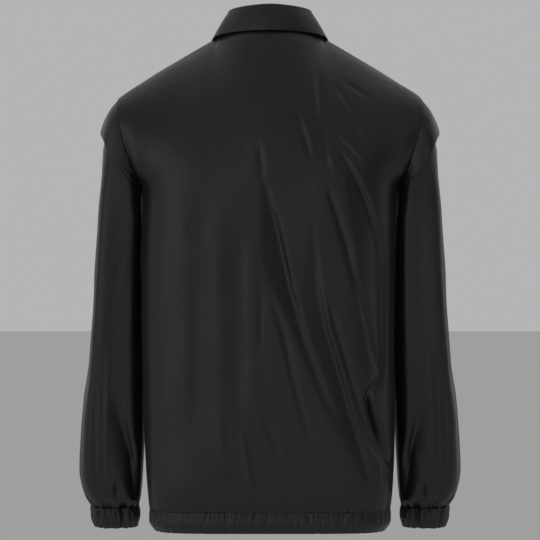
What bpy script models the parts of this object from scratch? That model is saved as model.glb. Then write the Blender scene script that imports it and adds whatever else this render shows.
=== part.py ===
"""A windbreaker in its worn form with nobody in it: back, two lapped fronts, two set-in sleeves, gathered
cuffs, a gathered hem casing, a turned-down collar and five press studs.

The wearer faces -Y, +X is the wearer's left and +Z is up. The origin is the middle of the neck opening,
just below the inner ends of the shoulder seams.
"""

import math
from collections import namedtuple

import bpy
import numpy as np

# Cloth and seams, in metres
WALL = 0.0015  # a single layer of cloth with its seam allowances
CASING_WALL = 0.0018  # cloth turned back on itself
SEAM_TRIM = 0.0003  # each piece stops this far short of its seam line
SHOULDER_TRIM = 0.0008  # seams that turn a corner need a little more
ARMHOLE_TRIM = 0.0015
LAP = 0.015  # each front passes the middle line by this much
LAP_DROP = 0.0024  # the right front lies this far under the left
LAP_SUNK = 0.027  # the right front is fully under to this far past the middle
LAP_EASE = 0.030  # length over which it sinks under

# Heights, from the neck down
NECK_POINT = (0.078, 0.000, 0.006)  # inner end of the shoulder seam
UNDERARM_HEIGHT = -0.219
HEM_SEAM_HEIGHT = -0.694

# Grid counts
HALF_ACROSS = 14  # columns from a middle line to a side seam
NECK_ACROSS = 5  # of these, the columns that end on the neckline
LOWER_ROWS = 17  # rows from the hem seam to the underarm
SLEEVE_AROUND = 24  # columns round a sleeve
UPPER_ROWS = SLEEVE_AROUND // 2  # rows from the underarm to the shoulder seam
FINE = 160  # points on a line before it is spaced evenly
NECK_START = 0.3  # share of the way up from the underarm where rows begin to take the neck's shape
MOST_CUT = 0.85  # an arc keeps at least this much of its turn
RELAX_ROUNDS = 14  # times a body panel is eased towards its neighbours
SEAM_REACH = 4  # rows and columns over which a seam holds its cloth in place
POINTS_PER_GATHER = 4

# Level sections of the body from the hem seam to the underarm
Section = namedtuple("Section", "height half_width back front back_square front_square sway")
TORSO = (
    Section(height=-0.694, half_width=0.1780, back=0.116, front=0.114, back_square=5.10, front_square=5.10, sway=0.000),
    Section(height=-0.668, half_width=0.1820, back=0.123, front=0.121, back_square=6.20, front_square=5.35, sway=0.000),
    Section(height=-0.620, half_width=0.1850, back=0.128, front=0.126, back_square=7.60, front_square=5.70, sway=0.000),
    Section(height=-0.540, half_width=0.1865, back=0.131, front=0.128, back_square=9.00, front_square=5.95, sway=0.001),
    Section(height=-0.440, half_width=0.1870, back=0.134, front=0.130, back_square=10.00, front_square=6.00, sway=0.003),
    Section(height=-0.340, half_width=0.1870, back=0.137, front=0.132, back_square=10.00, front_square=6.00, sway=0.003),
    Section(height=-0.270, half_width=0.1875, back=0.139, front=0.133, back_square=10.00, front_square=6.00, sway=0.001),
    Section(height=-0.219, half_width=0.1880, back=0.139, front=0.133, back_square=10.00, front_square=6.00, sway=0.000),
)

# Rings of the left sleeve from the armhole seam to the cuff seam; a ring leans from outer to inner end
Ring = namedtuple("Ring", "outer_x outer_z inner_x inner_z middle_y half_depth squareness bow steps")
SLEEVE = (
    Ring(0.2240, -0.0885, 0.1880, -0.2190, -0.002, 0.106, 3.20, 0.007, 1),
    Ring(0.2390, -0.1095, 0.1898, -0.2205, -0.002, 0.107, 3.20, 0.007, 1),
    Ring(0.2478, -0.1390, 0.1908, -0.2225, -0.002, 0.107, 3.20, 0.008, 1),
    Ring(0.2440, -0.1500, 0.1912, -0.2260, -0.002, 0.098, 3.30, 0.002, 1),
    Ring(0.2468, -0.1630, 0.1913, -0.2310, -0.001, 0.094, 3.60, 0.002, 1),
    Ring(0.2498, -0.2050, 0.1914, -0.2460, -0.001, 0.087, 4.55, 0.000, 2),
    Ring(0.2528, -0.2550, 0.1899, -0.2750, 0.000, 0.080, 5.95, 0.000, 2),
    Ring(0.2580, -0.3300, 0.1892, -0.3350, 0.000, 0.073, 6.00, 0.000, 2),
    Ring(0.2640, -0.4150, 0.1885, -0.4150, -0.001, 0.069, 6.00, 0.000, 2),
    Ring(0.2710, -0.5000, 0.1887, -0.5000, -0.004, 0.065, 5.95, 0.000, 2),
    Ring(0.2785, -0.5850, 0.1897, -0.5850, -0.009, 0.062, 5.60, 0.000, 2),
    Ring(0.2815, -0.6450, 0.1920, -0.6450, -0.014, 0.058, 4.95, 0.000, 2),
    Ring(0.2785, -0.6800, 0.1942, -0.6810, -0.018, 0.051, 3.30, 0.000, 2),
    Ring(0.2710, -0.6980, 0.1965, -0.6980, -0.021, 0.043, 2.40, 0.000, 0),
)

# Soft folds; across is sideways for a body panel and the girth from the underarm line for a sleeve
Fold = namedtuple("Fold", "top_across top_height low_across low_height bend width depth")
BACK_FOLDS = (
    Fold(0.010, -0.214, -0.095, -0.570, -0.0095, 0.014, -0.0075),
    Fold(-0.056, -0.274, -0.138, -0.649, -0.0110, 0.015, -0.0060),
    Fold(-0.090, -0.171, -0.150, -0.519, 0.0330, 0.018, -0.0080),
    Fold(-0.154, -0.498, -0.177, -0.628, -0.0145, 0.012, -0.0100),
    Fold(-0.070, -0.040, -0.079, -0.170, 0.0000, 0.016, -0.0045),
    Fold(0.076, -0.230, 0.076, -0.680, 0.0030, 0.015, 0.0035),
    Fold(0.042, -0.270, 0.036, -0.650, 0.0000, 0.018, -0.0035),
    Fold(0.132, -0.180, 0.125, -0.560, 0.0040, 0.020, 0.0030),
)
FRONT_FOLDS = (
    Fold(0.108, -0.140, 0.085, -0.640, 0.006, 0.018, 0.0045),
    Fold(0.066, -0.250, 0.056, -0.670, 0.000, 0.016, -0.0045),
    Fold(0.152, -0.220, 0.134, -0.600, 0.005, 0.016, -0.0060),
    Fold(-0.094, -0.160, -0.100, -0.560, 0.004, 0.018, 0.0045),
    Fold(-0.062, -0.200, -0.070, -0.620, 0.006, 0.016, -0.0040),
    Fold(-0.148, -0.230, -0.126, -0.660, -0.006, 0.016, -0.0060),
)
SLEEVE_FOLDS = (
    Fold(0.322, -0.520, 0.372, -0.685, 0.006, 0.014, -0.0080),
    Fold(0.300, -0.230, 0.296, -0.520, 0.004, 0.013, 0.0035),
    Fold(0.262, -0.260, 0.255, -0.500, 0.000, 0.012, -0.0035),
    Fold(0.235, -0.480, 0.245, -0.680, 0.000, 0.012, 0.0035),
    Fold(0.150, -0.230, 0.135, -0.430, 0.006, 0.016, -0.0045),
    Fold(0.125, -0.480, 0.090, -0.680, -0.006, 0.015, -0.0060),
    Fold(0.180, -0.400, 0.165, -0.660, 0.000, 0.014, 0.0040),
)
SLEEVE_GIRTH = 0.420  # the girth that the sleeve folds are placed on

# Level sections of the hem casing, and its gathers by share of its length from the left front edge
HEM_CASING = (
    Section(height=-0.6943, half_width=0.1780, back=0.116, front=0.114, back_square=5.10, front_square=5.10, sway=0.0),
    Section(height=-0.7110, half_width=0.1775, back=0.116, front=0.114, back_square=5.10, front_square=5.10, sway=0.0),
    Section(height=-0.7240, half_width=0.1720, back=0.111, front=0.109, back_square=5.10, front_square=5.10, sway=0.0),
)
GatherZone = namedtuple("GatherZone", "start end count depth")
HEM_GATHERS = (
    GatherZone(start=0.00, end=0.17, count=4, depth=0.0006),
    GatherZone(start=0.17, end=0.33, count=14, depth=0.0017),
    GatherZone(start=0.33, end=0.67, count=12, depth=0.0009),
    GatherZone(start=0.67, end=0.83, count=14, depth=0.0017),
    GatherZone(start=0.83, end=1.00, count=4, depth=0.0006),
)

# Rings of the left cuff casing, and its gathers
CUFF = (
    Ring(0.2710, -0.6983, 0.1965, -0.6983, -0.021, 0.043, 2.40, 0.000, 1),
    Ring(0.2700, -0.7130, 0.1968, -0.7130, -0.022, 0.042, 2.40, 0.000, 1),
    Ring(0.2660, -0.7280, 0.1990, -0.7280, -0.022, 0.039, 2.40, 0.000, 0),
)
CUFF_GATHERS = 21
CUFF_GATHER_DEPTH = 0.0015

# Middle lines from underarm height to the neck, as the four points that steer each curve
Steer = namedtuple("Steer", "y z")
BACK_MIDDLE = (
    Steer(y=0.139, z=UNDERARM_HEIGHT),
    Steer(y=0.141, z=-0.120),
    Steer(y=0.100, z=-0.035),
    Steer(y=0.060, z=0.012),
)
FRONT_MIDDLE = (
    Steer(y=-0.133, z=UNDERARM_HEIGHT),
    Steer(y=-0.134, z=-0.165),
    Steer(y=-0.108, z=-0.105),
    Steer(y=-0.078, z=-0.070),
)
SHOULDER_STEER = ((0.125, -0.001, -0.022), (0.206, -0.003, -0.0655))  # shoulder seam between its two ends

# Half of the collar from the middle of the back to its front edge: fold line and free edge
CollarStation = namedtuple("CollarStation", "fold_x fold_y fold_z edge_x edge_y edge_z")
COLLAR = (
    CollarStation(0.000, 0.052, 0.0455, 0.000, 0.0680, 0.0098),
    CollarStation(0.034, 0.044, 0.0435, 0.047, 0.0575, 0.0088),
    CollarStation(0.059, 0.014, 0.0395, 0.083, 0.0260, 0.0050),
    CollarStation(0.060, -0.020, 0.0290, 0.0880, -0.0220, 0.0005),
    CollarStation(0.051, -0.053, 0.0020, 0.0870, -0.0500, -0.0330),
    CollarStation(0.026, -0.075, -0.0270, 0.0720, -0.0840, -0.0800),
    CollarStation(0.004, -0.084, -0.0430, 0.0470, -0.1085, -0.1180),
)
COLLAR_FOLD_RADIUS = 0.004
COLLAR_RISE = 0.0022  # the collar starts this far above the neckline
COLLAR_BELLY = 0.0015  # outward curve of the turned-down part
COLLAR_END = 0.004  # each half stops this far from the middle of the front
STAND_ROWS = 3
FALL_ROWS = 5

# Press studs down the left front
STUD_HEIGHTS = (-0.105, -0.235, -0.365, -0.495, -0.625)
STUD_CLEAR = 0.0006 + WALL / 2  # from the middle layer of the cloth to a stud's base
STUD_SIDES = 14
StudStep = namedtuple("StudStep", "radius rise")
STUD = (
    StudStep(radius=0.0075, rise=0.0000),
    StudStep(radius=0.0075, rise=0.0012),
    StudStep(radius=0.0062, rise=0.0022),
    StudStep(radius=0.0030, rise=0.0027),
)

# Finishes
CLOTH_COLOUR = (0.020, 0.020, 0.021, 1.0)
STUD_COLOUR = (0.012, 0.012, 0.013, 1.0)
CLOTH_ROUGHNESS = 0.48
STUD_ROUGHNESS = 0.35


def smooth(at, knots, values):
    """Values of a curve through the knots that never swings past them."""
    at = np.asarray(at, float)
    steps = np.diff(knots)
    slopes = np.diff(values) / steps
    tangents = np.zeros(len(values))
    tangents[0], tangents[-1] = slopes[0], slopes[-1]
    before, after = slopes[:-1], slopes[1:]
    same_way = before * after > 0
    tangents[1:-1][same_way] = 2 * before[same_way] * after[same_way] / (before + after)[same_way]
    i = np.clip(np.searchsorted(knots, at, side="right") - 1, 0, len(steps) - 1)
    q = (at - knots[i]) / steps[i]
    rise = values[i + 1] - values[i]
    return (
        values[i]
        + rise * q * q * (3 - 2 * q)
        + steps[i] * q * (1 - q) * (tangents[i] * (1 - q) - tangents[i + 1] * q)
    )


def rows_at(rows, knots, at):
    """The table's rows, smoothly filled in between, as a dictionary of columns."""
    columns = {name: np.array([getattr(row, name) for row in rows]) for name in rows[0]._fields}
    return {name: smooth(at, knots, column) for name, column in columns.items()}


def soft_step(value, low, high):
    share = np.clip((value - low) / (high - low), 0, 1)
    return share * share * (3 - 2 * share)


def steered(points, shares):
    """Points on the cubic curve that four points steer."""
    a, b, c, d = (np.asarray(p, float) for p in points)
    q = np.asarray(shares, float)[:, None]
    return a * (1 - q) ** 3 + 3 * b * q * (1 - q) ** 2 + 3 * c * q * q * (1 - q) + d * q**3


def evenly(line, shares):
    """Points at these shares of a line's length."""
    run = np.concatenate([[0], np.cumsum(np.linalg.norm(np.diff(line, axis=0), axis=1))])
    return np.stack([np.interp(np.asarray(shares) * run[-1], run, line[:, k]) for k in range(3)], axis=1)


def rounded(turn, squareness):
    """Sideways and deep shares of a rounded box's outline at an angle from its side."""
    power = 2 / squareness
    side, deep = np.cos(turn), np.sin(turn)
    return np.sign(side) * np.abs(side) ** power, np.sign(deep) * np.abs(deep) ** power


def ring_line(ring, turns):
    """A leaning sleeve ring: angle 0 is the underarm line, a half turn the outside, front first."""
    side, deep = rounded(turns, ring["squareness"])
    out = -side
    half_x, half_z = (ring["outer_x"] - ring["inner_x"]) / 2, (ring["outer_z"] - ring["inner_z"]) / 2
    length = math.hypot(half_x, half_z)
    swell = ring["bow"] * (1 - out * out)
    x = ring["inner_x"] + half_x * (1 + out) + swell * half_z / length
    z = ring["inner_z"] + half_z * (1 + out) - swell * half_x / length
    return np.stack([x, ring["middle_y"] - ring["half_depth"] * deep, z], axis=-1)


def armhole(front):
    """The armhole seam from the underarm to the shoulder tip, by the back or by the front."""
    turns = np.linspace(0, math.pi, UPPER_ROWS + 1)
    return ring_line(SLEEVE[0]._asdict(), turns if front else -turns)


def level_arc(section, front, shares):
    """Half of a body section, from the middle line to the side seam."""
    squareness = section["front_square"] if front else section["back_square"]
    side, deep = rounded(np.linspace(math.pi / 2, 0, FINE), squareness)
    depth = -section["front"] if front else section["back"]
    line = np.stack([section["half_width"] * side, depth * deep, np.full(FINE, section["height"])], axis=1)
    return evenly(line, shares)


def neck_and_shoulder(front, shares):
    """Top edge of half a panel: neckline from the middle to the neck point, then the shoulder seam."""
    middle = (FRONT_MIDDLE if front else BACK_MIDDLE)[-1]
    turn = np.linspace(0, math.pi / 2, FINE)
    side, _, top = NECK_POINT
    neck = np.stack(
        [side * np.sin(turn), middle.y * np.cos(turn), top + (middle.z - top) * np.cos(turn)],
        axis=1,
    )
    tip = armhole(front)[-1]
    shoulder = steered([NECK_POINT, *SHOULDER_STEER, tip], np.linspace(0, 1, FINE))
    split = NECK_ACROSS / HALF_ACROSS
    on_neck = evenly(neck, np.clip(shares / split, 0, 1))
    on_shoulder = evenly(shoulder, np.clip((shares - split) / (1 - split), 0, 1))
    return np.where((shares <= split)[:, None], on_neck, on_shoulder)


def upper_rows(front, shares):
    """Half a panel above the underarm: arcs cut off by the armhole, becoming the neck and shoulder line."""
    edges = armhole(front)
    ups = np.linspace(0, 1, UPPER_ROWS + 1)
    steer = [(0, point.y, point.z) for point in (FRONT_MIDDLE if front else BACK_MIDDLE)]
    middles = evenly(steered(steer, np.linspace(0, 1, FINE)), ups)
    ends = neck_and_shoulder(front, np.array([0.0, 1.0]))
    s = shares[:, None]
    top_swell = neck_and_shoulder(front, shares) - ((1 - s) * ends[0] + s * ends[1])
    power = 2 / (TORSO[-1].front_square if front else TORSO[-1].back_square)
    rows = []
    for up, middle, edge in zip(ups, middles, edges):
        cut = np.clip(edge[1] / middle[1], 0, MOST_CUT)
        end = math.acos(cut ** (1 / power))
        turn = np.linspace(0, end, FINE)
        x = edge[0] * (np.sin(turn) / math.sin(end)) ** power
        deep = (np.cos(turn) ** power - cut) / (1 - cut)
        y = edge[1] + (middle[1] - edge[1]) * deep
        z = middle[2] + (edge[2] - middle[2]) * x / edge[0]
        arc = evenly(np.stack([x, y, z], axis=1), shares)
        straight = (1 - s) * middle + s * edge
        near_top = soft_step(up, NECK_START, 1)
        rows.append(arc * (1 - near_top) + (straight + top_swell) * near_top)
    return rows


def half_panel(front, shares):
    """Rows of points from the hem seam to the top edge, from a middle line (share 0) to a side."""
    heights = np.linspace(HEM_SEAM_HEIGHT, UNDERARM_HEIGHT, LOWER_ROWS + 1)
    sections = rows_at(TORSO, np.array([row.height for row in TORSO]), heights)
    lower = [level_arc({k: v[i] for k, v in sections.items()}, front, shares) for i in range(LOWER_ROWS)]
    return np.array(lower + upper_rows(front, shares))


def relaxed(grid):
    """The grid with its inner points eased towards their neighbours, as cloth evens out; seams stay."""
    rows, columns = grid.shape[:2]
    row, column = np.arange(rows)[:, None], np.arange(columns)[None, :]
    from_top = soft_step(rows - 1 - row, 0, SEAM_REACH) * soft_step(row, 0, SEAM_REACH)
    from_side = soft_step(np.minimum(column, columns - 1 - column), 0, SEAM_REACH)
    freely = (from_top * from_side)[..., None]
    eased = grid.copy()
    for _ in range(RELAX_ROUNDS):
        above_below = (np.roll(eased, 1, axis=0) + np.roll(eased, -1, axis=0)) / 2
        beside = (np.roll(eased, 1, axis=1) + np.roll(eased, -1, axis=1)) / 2
        eased = eased + freely * (above_below - eased) / 2
        eased = eased + freely * (beside - eased) / 4
    return eased


def sway_at(height):
    """How far the body hangs to its left at a height."""
    knots = np.array([row.height for row in TORSO])
    return smooth(np.clip(height, knots[0], knots[-1]), knots, np.array([row.sway for row in TORSO]))


def swayed(grid):
    """The body hangs a little to one side."""
    moved = grid.copy()
    moved[..., 0] += np.where(grid[..., 2] < UNDERARM_HEIGHT, sway_at(grid[..., 2]), 0)
    return moved


def outward(grid, closed=False):
    """Unit normals, for columns that run left to right and rows that run upwards as seen from outside."""
    across = np.roll(grid, -1, axis=1) - np.roll(grid, 1, axis=1) if closed else np.gradient(grid, axis=1)
    normal = np.cross(across, np.gradient(grid, axis=0))
    return normal / np.linalg.norm(normal, axis=-1, keepdims=True)


def fold_depths(across, height, folds):
    """Sum of soft ridges and troughs, each tapering to its ends."""
    total = np.zeros_like(across)
    for fold in folds:
        run = np.array([fold.low_across - fold.top_across, fold.low_height - fold.top_height])
        length = np.linalg.norm(run)
        along_x, along_z = run / length
        from_x, from_z = across - fold.top_across, height - fold.top_height
        share = np.clip((from_x * along_x + from_z * along_z) / length, 0, 1)
        bent = 4 * fold.bend * share * (1 - share)
        sideways = from_x * along_z - from_z * along_x - bent
        total += fold.depth * np.sin(math.pi * share) ** 1.5 * np.exp(-((sideways / fold.width) ** 2))
    return total


def trimmed(grid, closed=False, top_trim=SEAM_TRIM):
    """The grid with its open edges drawn back from their seam lines."""

    def towards(start, end, trim=SEAM_TRIM):
        run = end - start
        return start + trim * run / np.linalg.norm(run, axis=-1, keepdims=True)

    short = grid.copy()
    short[0], short[-1] = towards(grid[0], grid[1]), towards(grid[-1], grid[-2], top_trim)
    if not closed:
        short[:, 0], short[:, -1] = towards(short[:, 0], short[:, 1]), towards(short[:, -1], short[:, -2])
    return short


def finish(name, colour, roughness):
    material = bpy.data.materials.new(name)
    material.use_nodes = True
    shader = material.node_tree.nodes["Principled BSDF"]
    shader.inputs["Base Color"].default_value = colour
    shader.inputs["Roughness"].default_value = roughness
    return material


def placed(name, points, faces, colour, roughness):
    mesh = bpy.data.meshes.new(name)
    mesh.from_pydata(points, [], faces)
    mesh.materials.append(finish(name, colour, roughness))
    mesh.polygons.foreach_set("use_smooth", [True] * len(mesh.polygons))
    part = bpy.data.objects.new(name, mesh)
    bpy.context.scene.collection.objects.link(part)
    return part


def cloth(name, grid, wall, closed=False, side=0):
    """A piece of cloth whose middle layer is the grid; with side -1 the grid is its outside."""
    rows, columns = grid.shape[:2]
    spans = columns if closed else columns - 1
    faces = []
    for row in range(rows - 1):
        for column in range(spans):
            right = (column + 1) % columns
            low, high = row * columns, (row + 1) * columns
            faces.append((low + column, low + right, high + right, high + column))
    part = placed(name, grid.reshape(-1, 3).tolist(), faces, CLOTH_COLOUR, CLOTH_ROUGHNESS)
    thickness = part.modifiers.new("Wall", "SOLIDIFY")
    thickness.thickness = wall
    thickness.offset = side
    return part


def mirrored(grid):
    """The same piece on the wearer's other side."""
    return grid[:, ::-1] * np.array([-1, 1, 1])


def whole_panel(front):
    """The back, or both fronts before they are parted, with columns left to right as seen from outside."""
    half = half_panel(front, np.linspace(0, 1, HALF_ACROSS + 1))
    other = half * np.array([-1, 1, 1])
    left, right = (other, half) if front else (half, other)
    return relaxed(np.concatenate([left[:, :0:-1], right], axis=1))


def folded(panel, folds):
    """The panel with its folds pressed in along its normals, hung a little to one side."""
    depths = fold_depths(panel[..., 0], panel[..., 2], folds)
    return swayed(panel + outward(panel) * depths[..., None])


def build_back():
    cloth("back", trimmed(folded(whole_panel(front=False), BACK_FOLDS), top_trim=SHOULDER_TRIM), WALL)


def build_fronts():
    """Both fronts, and the left one's middle line for the studs."""
    panel = folded(whole_panel(front=True), FRONT_FOLDS)
    middle = HALF_ACROSS
    to_right, to_left = panel[:, middle - 1] - panel[:, middle], panel[:, middle + 1] - panel[:, middle]
    left_lap = panel[:, middle] + to_right * LAP / np.linalg.norm(to_right, axis=-1, keepdims=True)
    right_lap = panel[:, middle] + to_left * LAP / np.linalg.norm(to_left, axis=-1, keepdims=True)
    left = np.concatenate([left_lap[:, None], panel[:, middle:]], axis=1)
    right = np.concatenate([panel[:, : middle + 1], right_lap[:, None]], axis=1)
    sunk = LAP_DROP * (1 - soft_step(-right[..., 0], LAP_SUNK, LAP_SUNK + LAP_EASE))
    right = right - outward(right) * sunk[..., None]
    cloth("front_left", trimmed(left, top_trim=SHOULDER_TRIM), WALL)
    cloth("front_right", trimmed(right, top_trim=SHOULDER_TRIM), WALL)
    return left[:, 1], outward(left)[:, 1]


def sleeve_grid(lean):
    """A left sleeve that follows the body's sway where they touch: all of it for lean 1, its mirror for -1."""
    stops = [
        number + step / ring.steps for number, ring in enumerate(SLEEVE[:-1]) for step in range(ring.steps)
    ]
    stops = np.array(stops + [len(SLEEVE) - 1])[::-1]
    table = rows_at(SLEEVE, np.arange(len(SLEEVE)), stops)
    table["inner_x"] += lean * sway_at(table["inner_z"])
    turns = np.arange(SLEEVE_AROUND) * 2 * math.pi / SLEEVE_AROUND
    sleeve = np.array([ring_line({k: v[i] for k, v in table.items()}, turns) for i in range(len(stops))])
    spans = np.linalg.norm(np.roll(sleeve, -1, axis=1) - sleeve, axis=-1)
    girth = (np.cumsum(spans, axis=1) - spans) / spans.sum(axis=1, keepdims=True) * SLEEVE_GIRTH
    folds = fold_depths(girth, sleeve[..., 2], SLEEVE_FOLDS)
    sleeve = sleeve + outward(sleeve, closed=True) * folds[..., None]
    return trimmed(sleeve, closed=True, top_trim=ARMHOLE_TRIM)


def build_sleeves():
    cloth("sleeve_left", sleeve_grid(lean=1), WALL, closed=True, side=-1)
    cloth("sleeve_right", mirrored(sleeve_grid(lean=-1)), WALL, closed=True, side=-1)


def build_cuffs():
    count = CUFF_GATHERS * POINTS_PER_GATHER
    turns = np.arange(count) * 2 * math.pi / count
    rings = np.array([ring_line(ring._asdict(), turns) for ring in CUFF[::-1]])
    wave = CUFF_GATHER_DEPTH * np.sin(CUFF_GATHERS * turns)
    cuff = rings + outward(rings, closed=True) * wave[None, :, None]
    cuff = trimmed(cuff, closed=True)
    cloth("cuff_left", cuff, CASING_WALL, closed=True, side=-1)
    cloth("cuff_right", mirrored(cuff), CASING_WALL, closed=True, side=-1)


def hem_line(section, shares):
    """The casing's whole way round, from the left front edge by the back to the right front edge."""
    turn = np.linspace(0, math.pi / 2, FINE)
    quarters = []
    for depth, squareness in ((-section.front, section.front_square), (section.back, section.back_square)):
        side, deep = rounded(turn, squareness)
        quarters.append(np.stack([section.half_width * side, depth * deep, np.full(FINE, section.height)], axis=1))
    front, back = quarters
    flip = np.array([-1, 1, 1])
    lap = front[-2 : -FINE // 2 : -1]
    lap = lap[lap[:, 0] < LAP]
    ring = [(lap * flip)[::-1], front[::-1], back[1:], (back * flip)[-2::-1], (front * flip)[1:], lap]
    return evenly(np.concatenate(ring), shares)


def hem_gathers():
    """Shares along the casing that fall on each gather's four points, and the cloth's rise there."""
    shares, rises = [], []
    middles = np.array([(zone.start + zone.end) / 2 for zone in HEM_GATHERS])
    depths = np.array([zone.depth for zone in HEM_GATHERS])
    for zone in HEM_GATHERS:
        phase = np.arange(zone.count * POINTS_PER_GATHER) / POINTS_PER_GATHER
        at = zone.start + (zone.end - zone.start) * phase / zone.count
        depth = smooth(np.clip(at, middles[0], middles[-1]), middles, depths)
        shares.extend(at)
        rises.extend(depth * np.sin(2 * math.pi * phase))
    return np.array(shares + [1.0]), np.array(rises + [0.0])


def build_hem_band():
    shares, rises = hem_gathers()
    band = np.array([hem_line(section, shares) for section in HEM_CASING[::-1]])
    normal = outward(band)
    near_end = soft_step(shares, 1 - (2 * LAP + LAP_EASE) / hem_length(band), 1 - 2 * LAP / hem_length(band))
    band = band + normal * (rises - LAP_DROP * near_end)[None, :, None]
    cloth("hem_band", trimmed(band), CASING_WALL)


def hem_length(band):
    return np.linalg.norm(np.diff(band[-1], axis=0), axis=1).sum()


def collar_half():
    """Rows of points from the neckline up to the fold and down to the free edge, for the left half."""
    shares = np.linspace(0, 1, NECK_ACROSS + 1) * NECK_ACROSS / HALF_ACROSS
    front_neck = neck_and_shoulder(True, shares)[:-1][::-1]
    neck = np.concatenate([neck_and_shoulder(False, shares), front_neck]) + np.array([0, 0, COLLAR_RISE])
    neck[-1, 0] = COLLAR_END
    other_half = [row._replace(fold_x=-row.fold_x, edge_x=-row.edge_x) for row in COLLAR[:0:-1]]
    knots = np.linspace(-1, 1, 2 * len(COLLAR) - 1)
    table = rows_at(other_half + list(COLLAR), knots, np.linspace(0, 1, len(neck)))
    fold = np.stack([table["fold_x"], table["fold_y"], table["fold_z"]], axis=1)
    edge = np.stack([table["edge_x"], table["edge_y"], table["edge_z"]], axis=1)
    out = edge - fold
    out[:, 2] = 0
    out /= np.linalg.norm(out, axis=1, keepdims=True)
    neck = neck - out * WALL / 2
    up = np.array([0, 0, 1])
    inner, outer = fold - out * COLLAR_FOLD_RADIUS, fold + out * COLLAR_FOLD_RADIUS
    rows = [neck + (inner - neck) * step / STAND_ROWS for step in range(STAND_ROWS + 1)]
    for angle in (math.pi / 4, math.pi / 2, 3 * math.pi / 4):
        rows.append(fold + COLLAR_FOLD_RADIUS * (up * math.sin(angle) - out * math.cos(angle)))
    for step in range(FALL_ROWS + 1):
        share = step / FALL_ROWS
        belly = COLLAR_BELLY * 4 * share * (1 - share)
        rows.append(outer + (edge - outer) * share + out * belly)
    return np.array(rows)


def build_collar():
    half = collar_half()
    whole = np.concatenate([half[:, :0:-1] * np.array([-1, 1, 1]), half], axis=1)
    cloth("collar", whole, WALL)


def build_studs(middle, normals):
    order = np.argsort(middle[:, 2])
    turns = np.arange(STUD_SIDES) * 2 * math.pi / STUD_SIDES
    for number, height in enumerate(STUD_HEIGHTS, start=1):
        centre = np.array([np.interp(height, middle[order, 2], middle[order, k]) for k in range(3)])
        normal = np.array([np.interp(height, middle[order, 2], normals[order, k]) for k in range(3)])
        normal /= np.linalg.norm(normal)
        side = np.array([1.0, 0.0, 0.0])
        up = np.cross(normal, side)
        circle = np.cos(turns)[:, None] * side + np.sin(turns)[:, None] * up
        points = [centre + normal * (STUD_CLEAR + step.rise) + circle * step.radius for step in STUD]
        points = np.concatenate(points)
        faces = [tuple(range(STUD_SIDES))[::-1]]
        for step in range(len(STUD) - 1):
            for k in range(STUD_SIDES):
                low, right = step * STUD_SIDES, (k + 1) % STUD_SIDES
                faces.append((low + k, low + right, low + STUD_SIDES + right, low + STUD_SIDES + k))
        last = (len(STUD) - 1) * STUD_SIDES
        faces.append(tuple(range(last, last + STUD_SIDES)))
        placed(f"snap_{number}", points.tolist(), faces, STUD_COLOUR, STUD_ROUGHNESS)


for existing in list(bpy.data.objects):
    bpy.data.objects.remove(existing)

build_back()
middle_line, middle_normals = build_fronts()
build_sleeves()
build_cuffs()
build_hem_band()
build_collar()
build_studs(middle_line, middle_normals)
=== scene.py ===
import math
from collections import namedtuple

import bpy
import numpy as np
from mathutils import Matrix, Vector


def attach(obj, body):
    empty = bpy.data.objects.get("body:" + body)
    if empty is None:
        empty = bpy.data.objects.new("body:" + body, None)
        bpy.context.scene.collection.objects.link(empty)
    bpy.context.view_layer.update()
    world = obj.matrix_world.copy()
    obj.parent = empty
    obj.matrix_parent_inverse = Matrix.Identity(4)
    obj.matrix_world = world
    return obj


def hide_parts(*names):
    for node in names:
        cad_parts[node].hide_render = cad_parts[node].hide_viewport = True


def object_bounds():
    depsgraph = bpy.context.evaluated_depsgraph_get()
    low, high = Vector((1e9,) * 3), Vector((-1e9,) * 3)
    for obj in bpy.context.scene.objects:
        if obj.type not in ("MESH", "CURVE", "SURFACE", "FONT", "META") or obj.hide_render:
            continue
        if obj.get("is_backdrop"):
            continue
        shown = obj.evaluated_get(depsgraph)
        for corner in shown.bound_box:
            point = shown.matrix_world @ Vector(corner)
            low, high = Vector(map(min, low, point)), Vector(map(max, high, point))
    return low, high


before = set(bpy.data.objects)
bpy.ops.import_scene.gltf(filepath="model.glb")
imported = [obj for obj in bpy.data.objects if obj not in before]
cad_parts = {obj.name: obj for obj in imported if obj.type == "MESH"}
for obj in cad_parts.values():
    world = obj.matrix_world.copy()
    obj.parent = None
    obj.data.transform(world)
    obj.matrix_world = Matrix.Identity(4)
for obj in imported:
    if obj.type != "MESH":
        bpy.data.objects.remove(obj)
cad_low, cad_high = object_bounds()

# Back
# One cut of charcoal taffeta from the hem seam up to the neckline and the two shoulder seams. It is sewn to
# the fronts down the sides and to the sleeves round the armholes. The left half hangs smooth, and the right
# half falls in long folds that run from the shoulder blade down to the right end of the hem.

NECK_POINT = (0.078, 0.000, 0.006)  # inner end of the shoulder seam
UNDERARM_HEIGHT = -0.219
HEM_SEAM_HEIGHT = -0.694
HALF_ACROSS = 14  # main columns from a middle line to a side seam
NECK_ACROSS = 5  # of these, the columns that end on the neckline
LOWER_ROWS = 17  # main rows from the hem seam to the underarm
UPPER_ROWS = 12  # main rows from the underarm to the shoulder seam
TIMES = 7  # fine spans in each main span across a body panel
UP_TIMES = 6  # fine spans in each main span up a body panel
FRINGE_TIMES = 4  # the gathered lowest rows have this many more columns
FRINGE_ROWS = 11  # so many fine rows
FINE = 160  # points on a line before it is spaced evenly
NECK_START = 0.3  # share of the way up from the underarm where rows begin to take the neck's shape
MOST_CUT = 0.85  # an arc keeps at least this much of its turn
RELAX_ROUNDS = 14
EASE_UP = 1 / 2  # of the way to its neighbours that a point moves in one round
EASE_ACROSS = 1 / 4
SEAM_REACH = 4  # main rows and columns over which a seam holds its cloth in place
TOP_EASE = 10  # fine rows over which a panel meets its exact top edge
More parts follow.
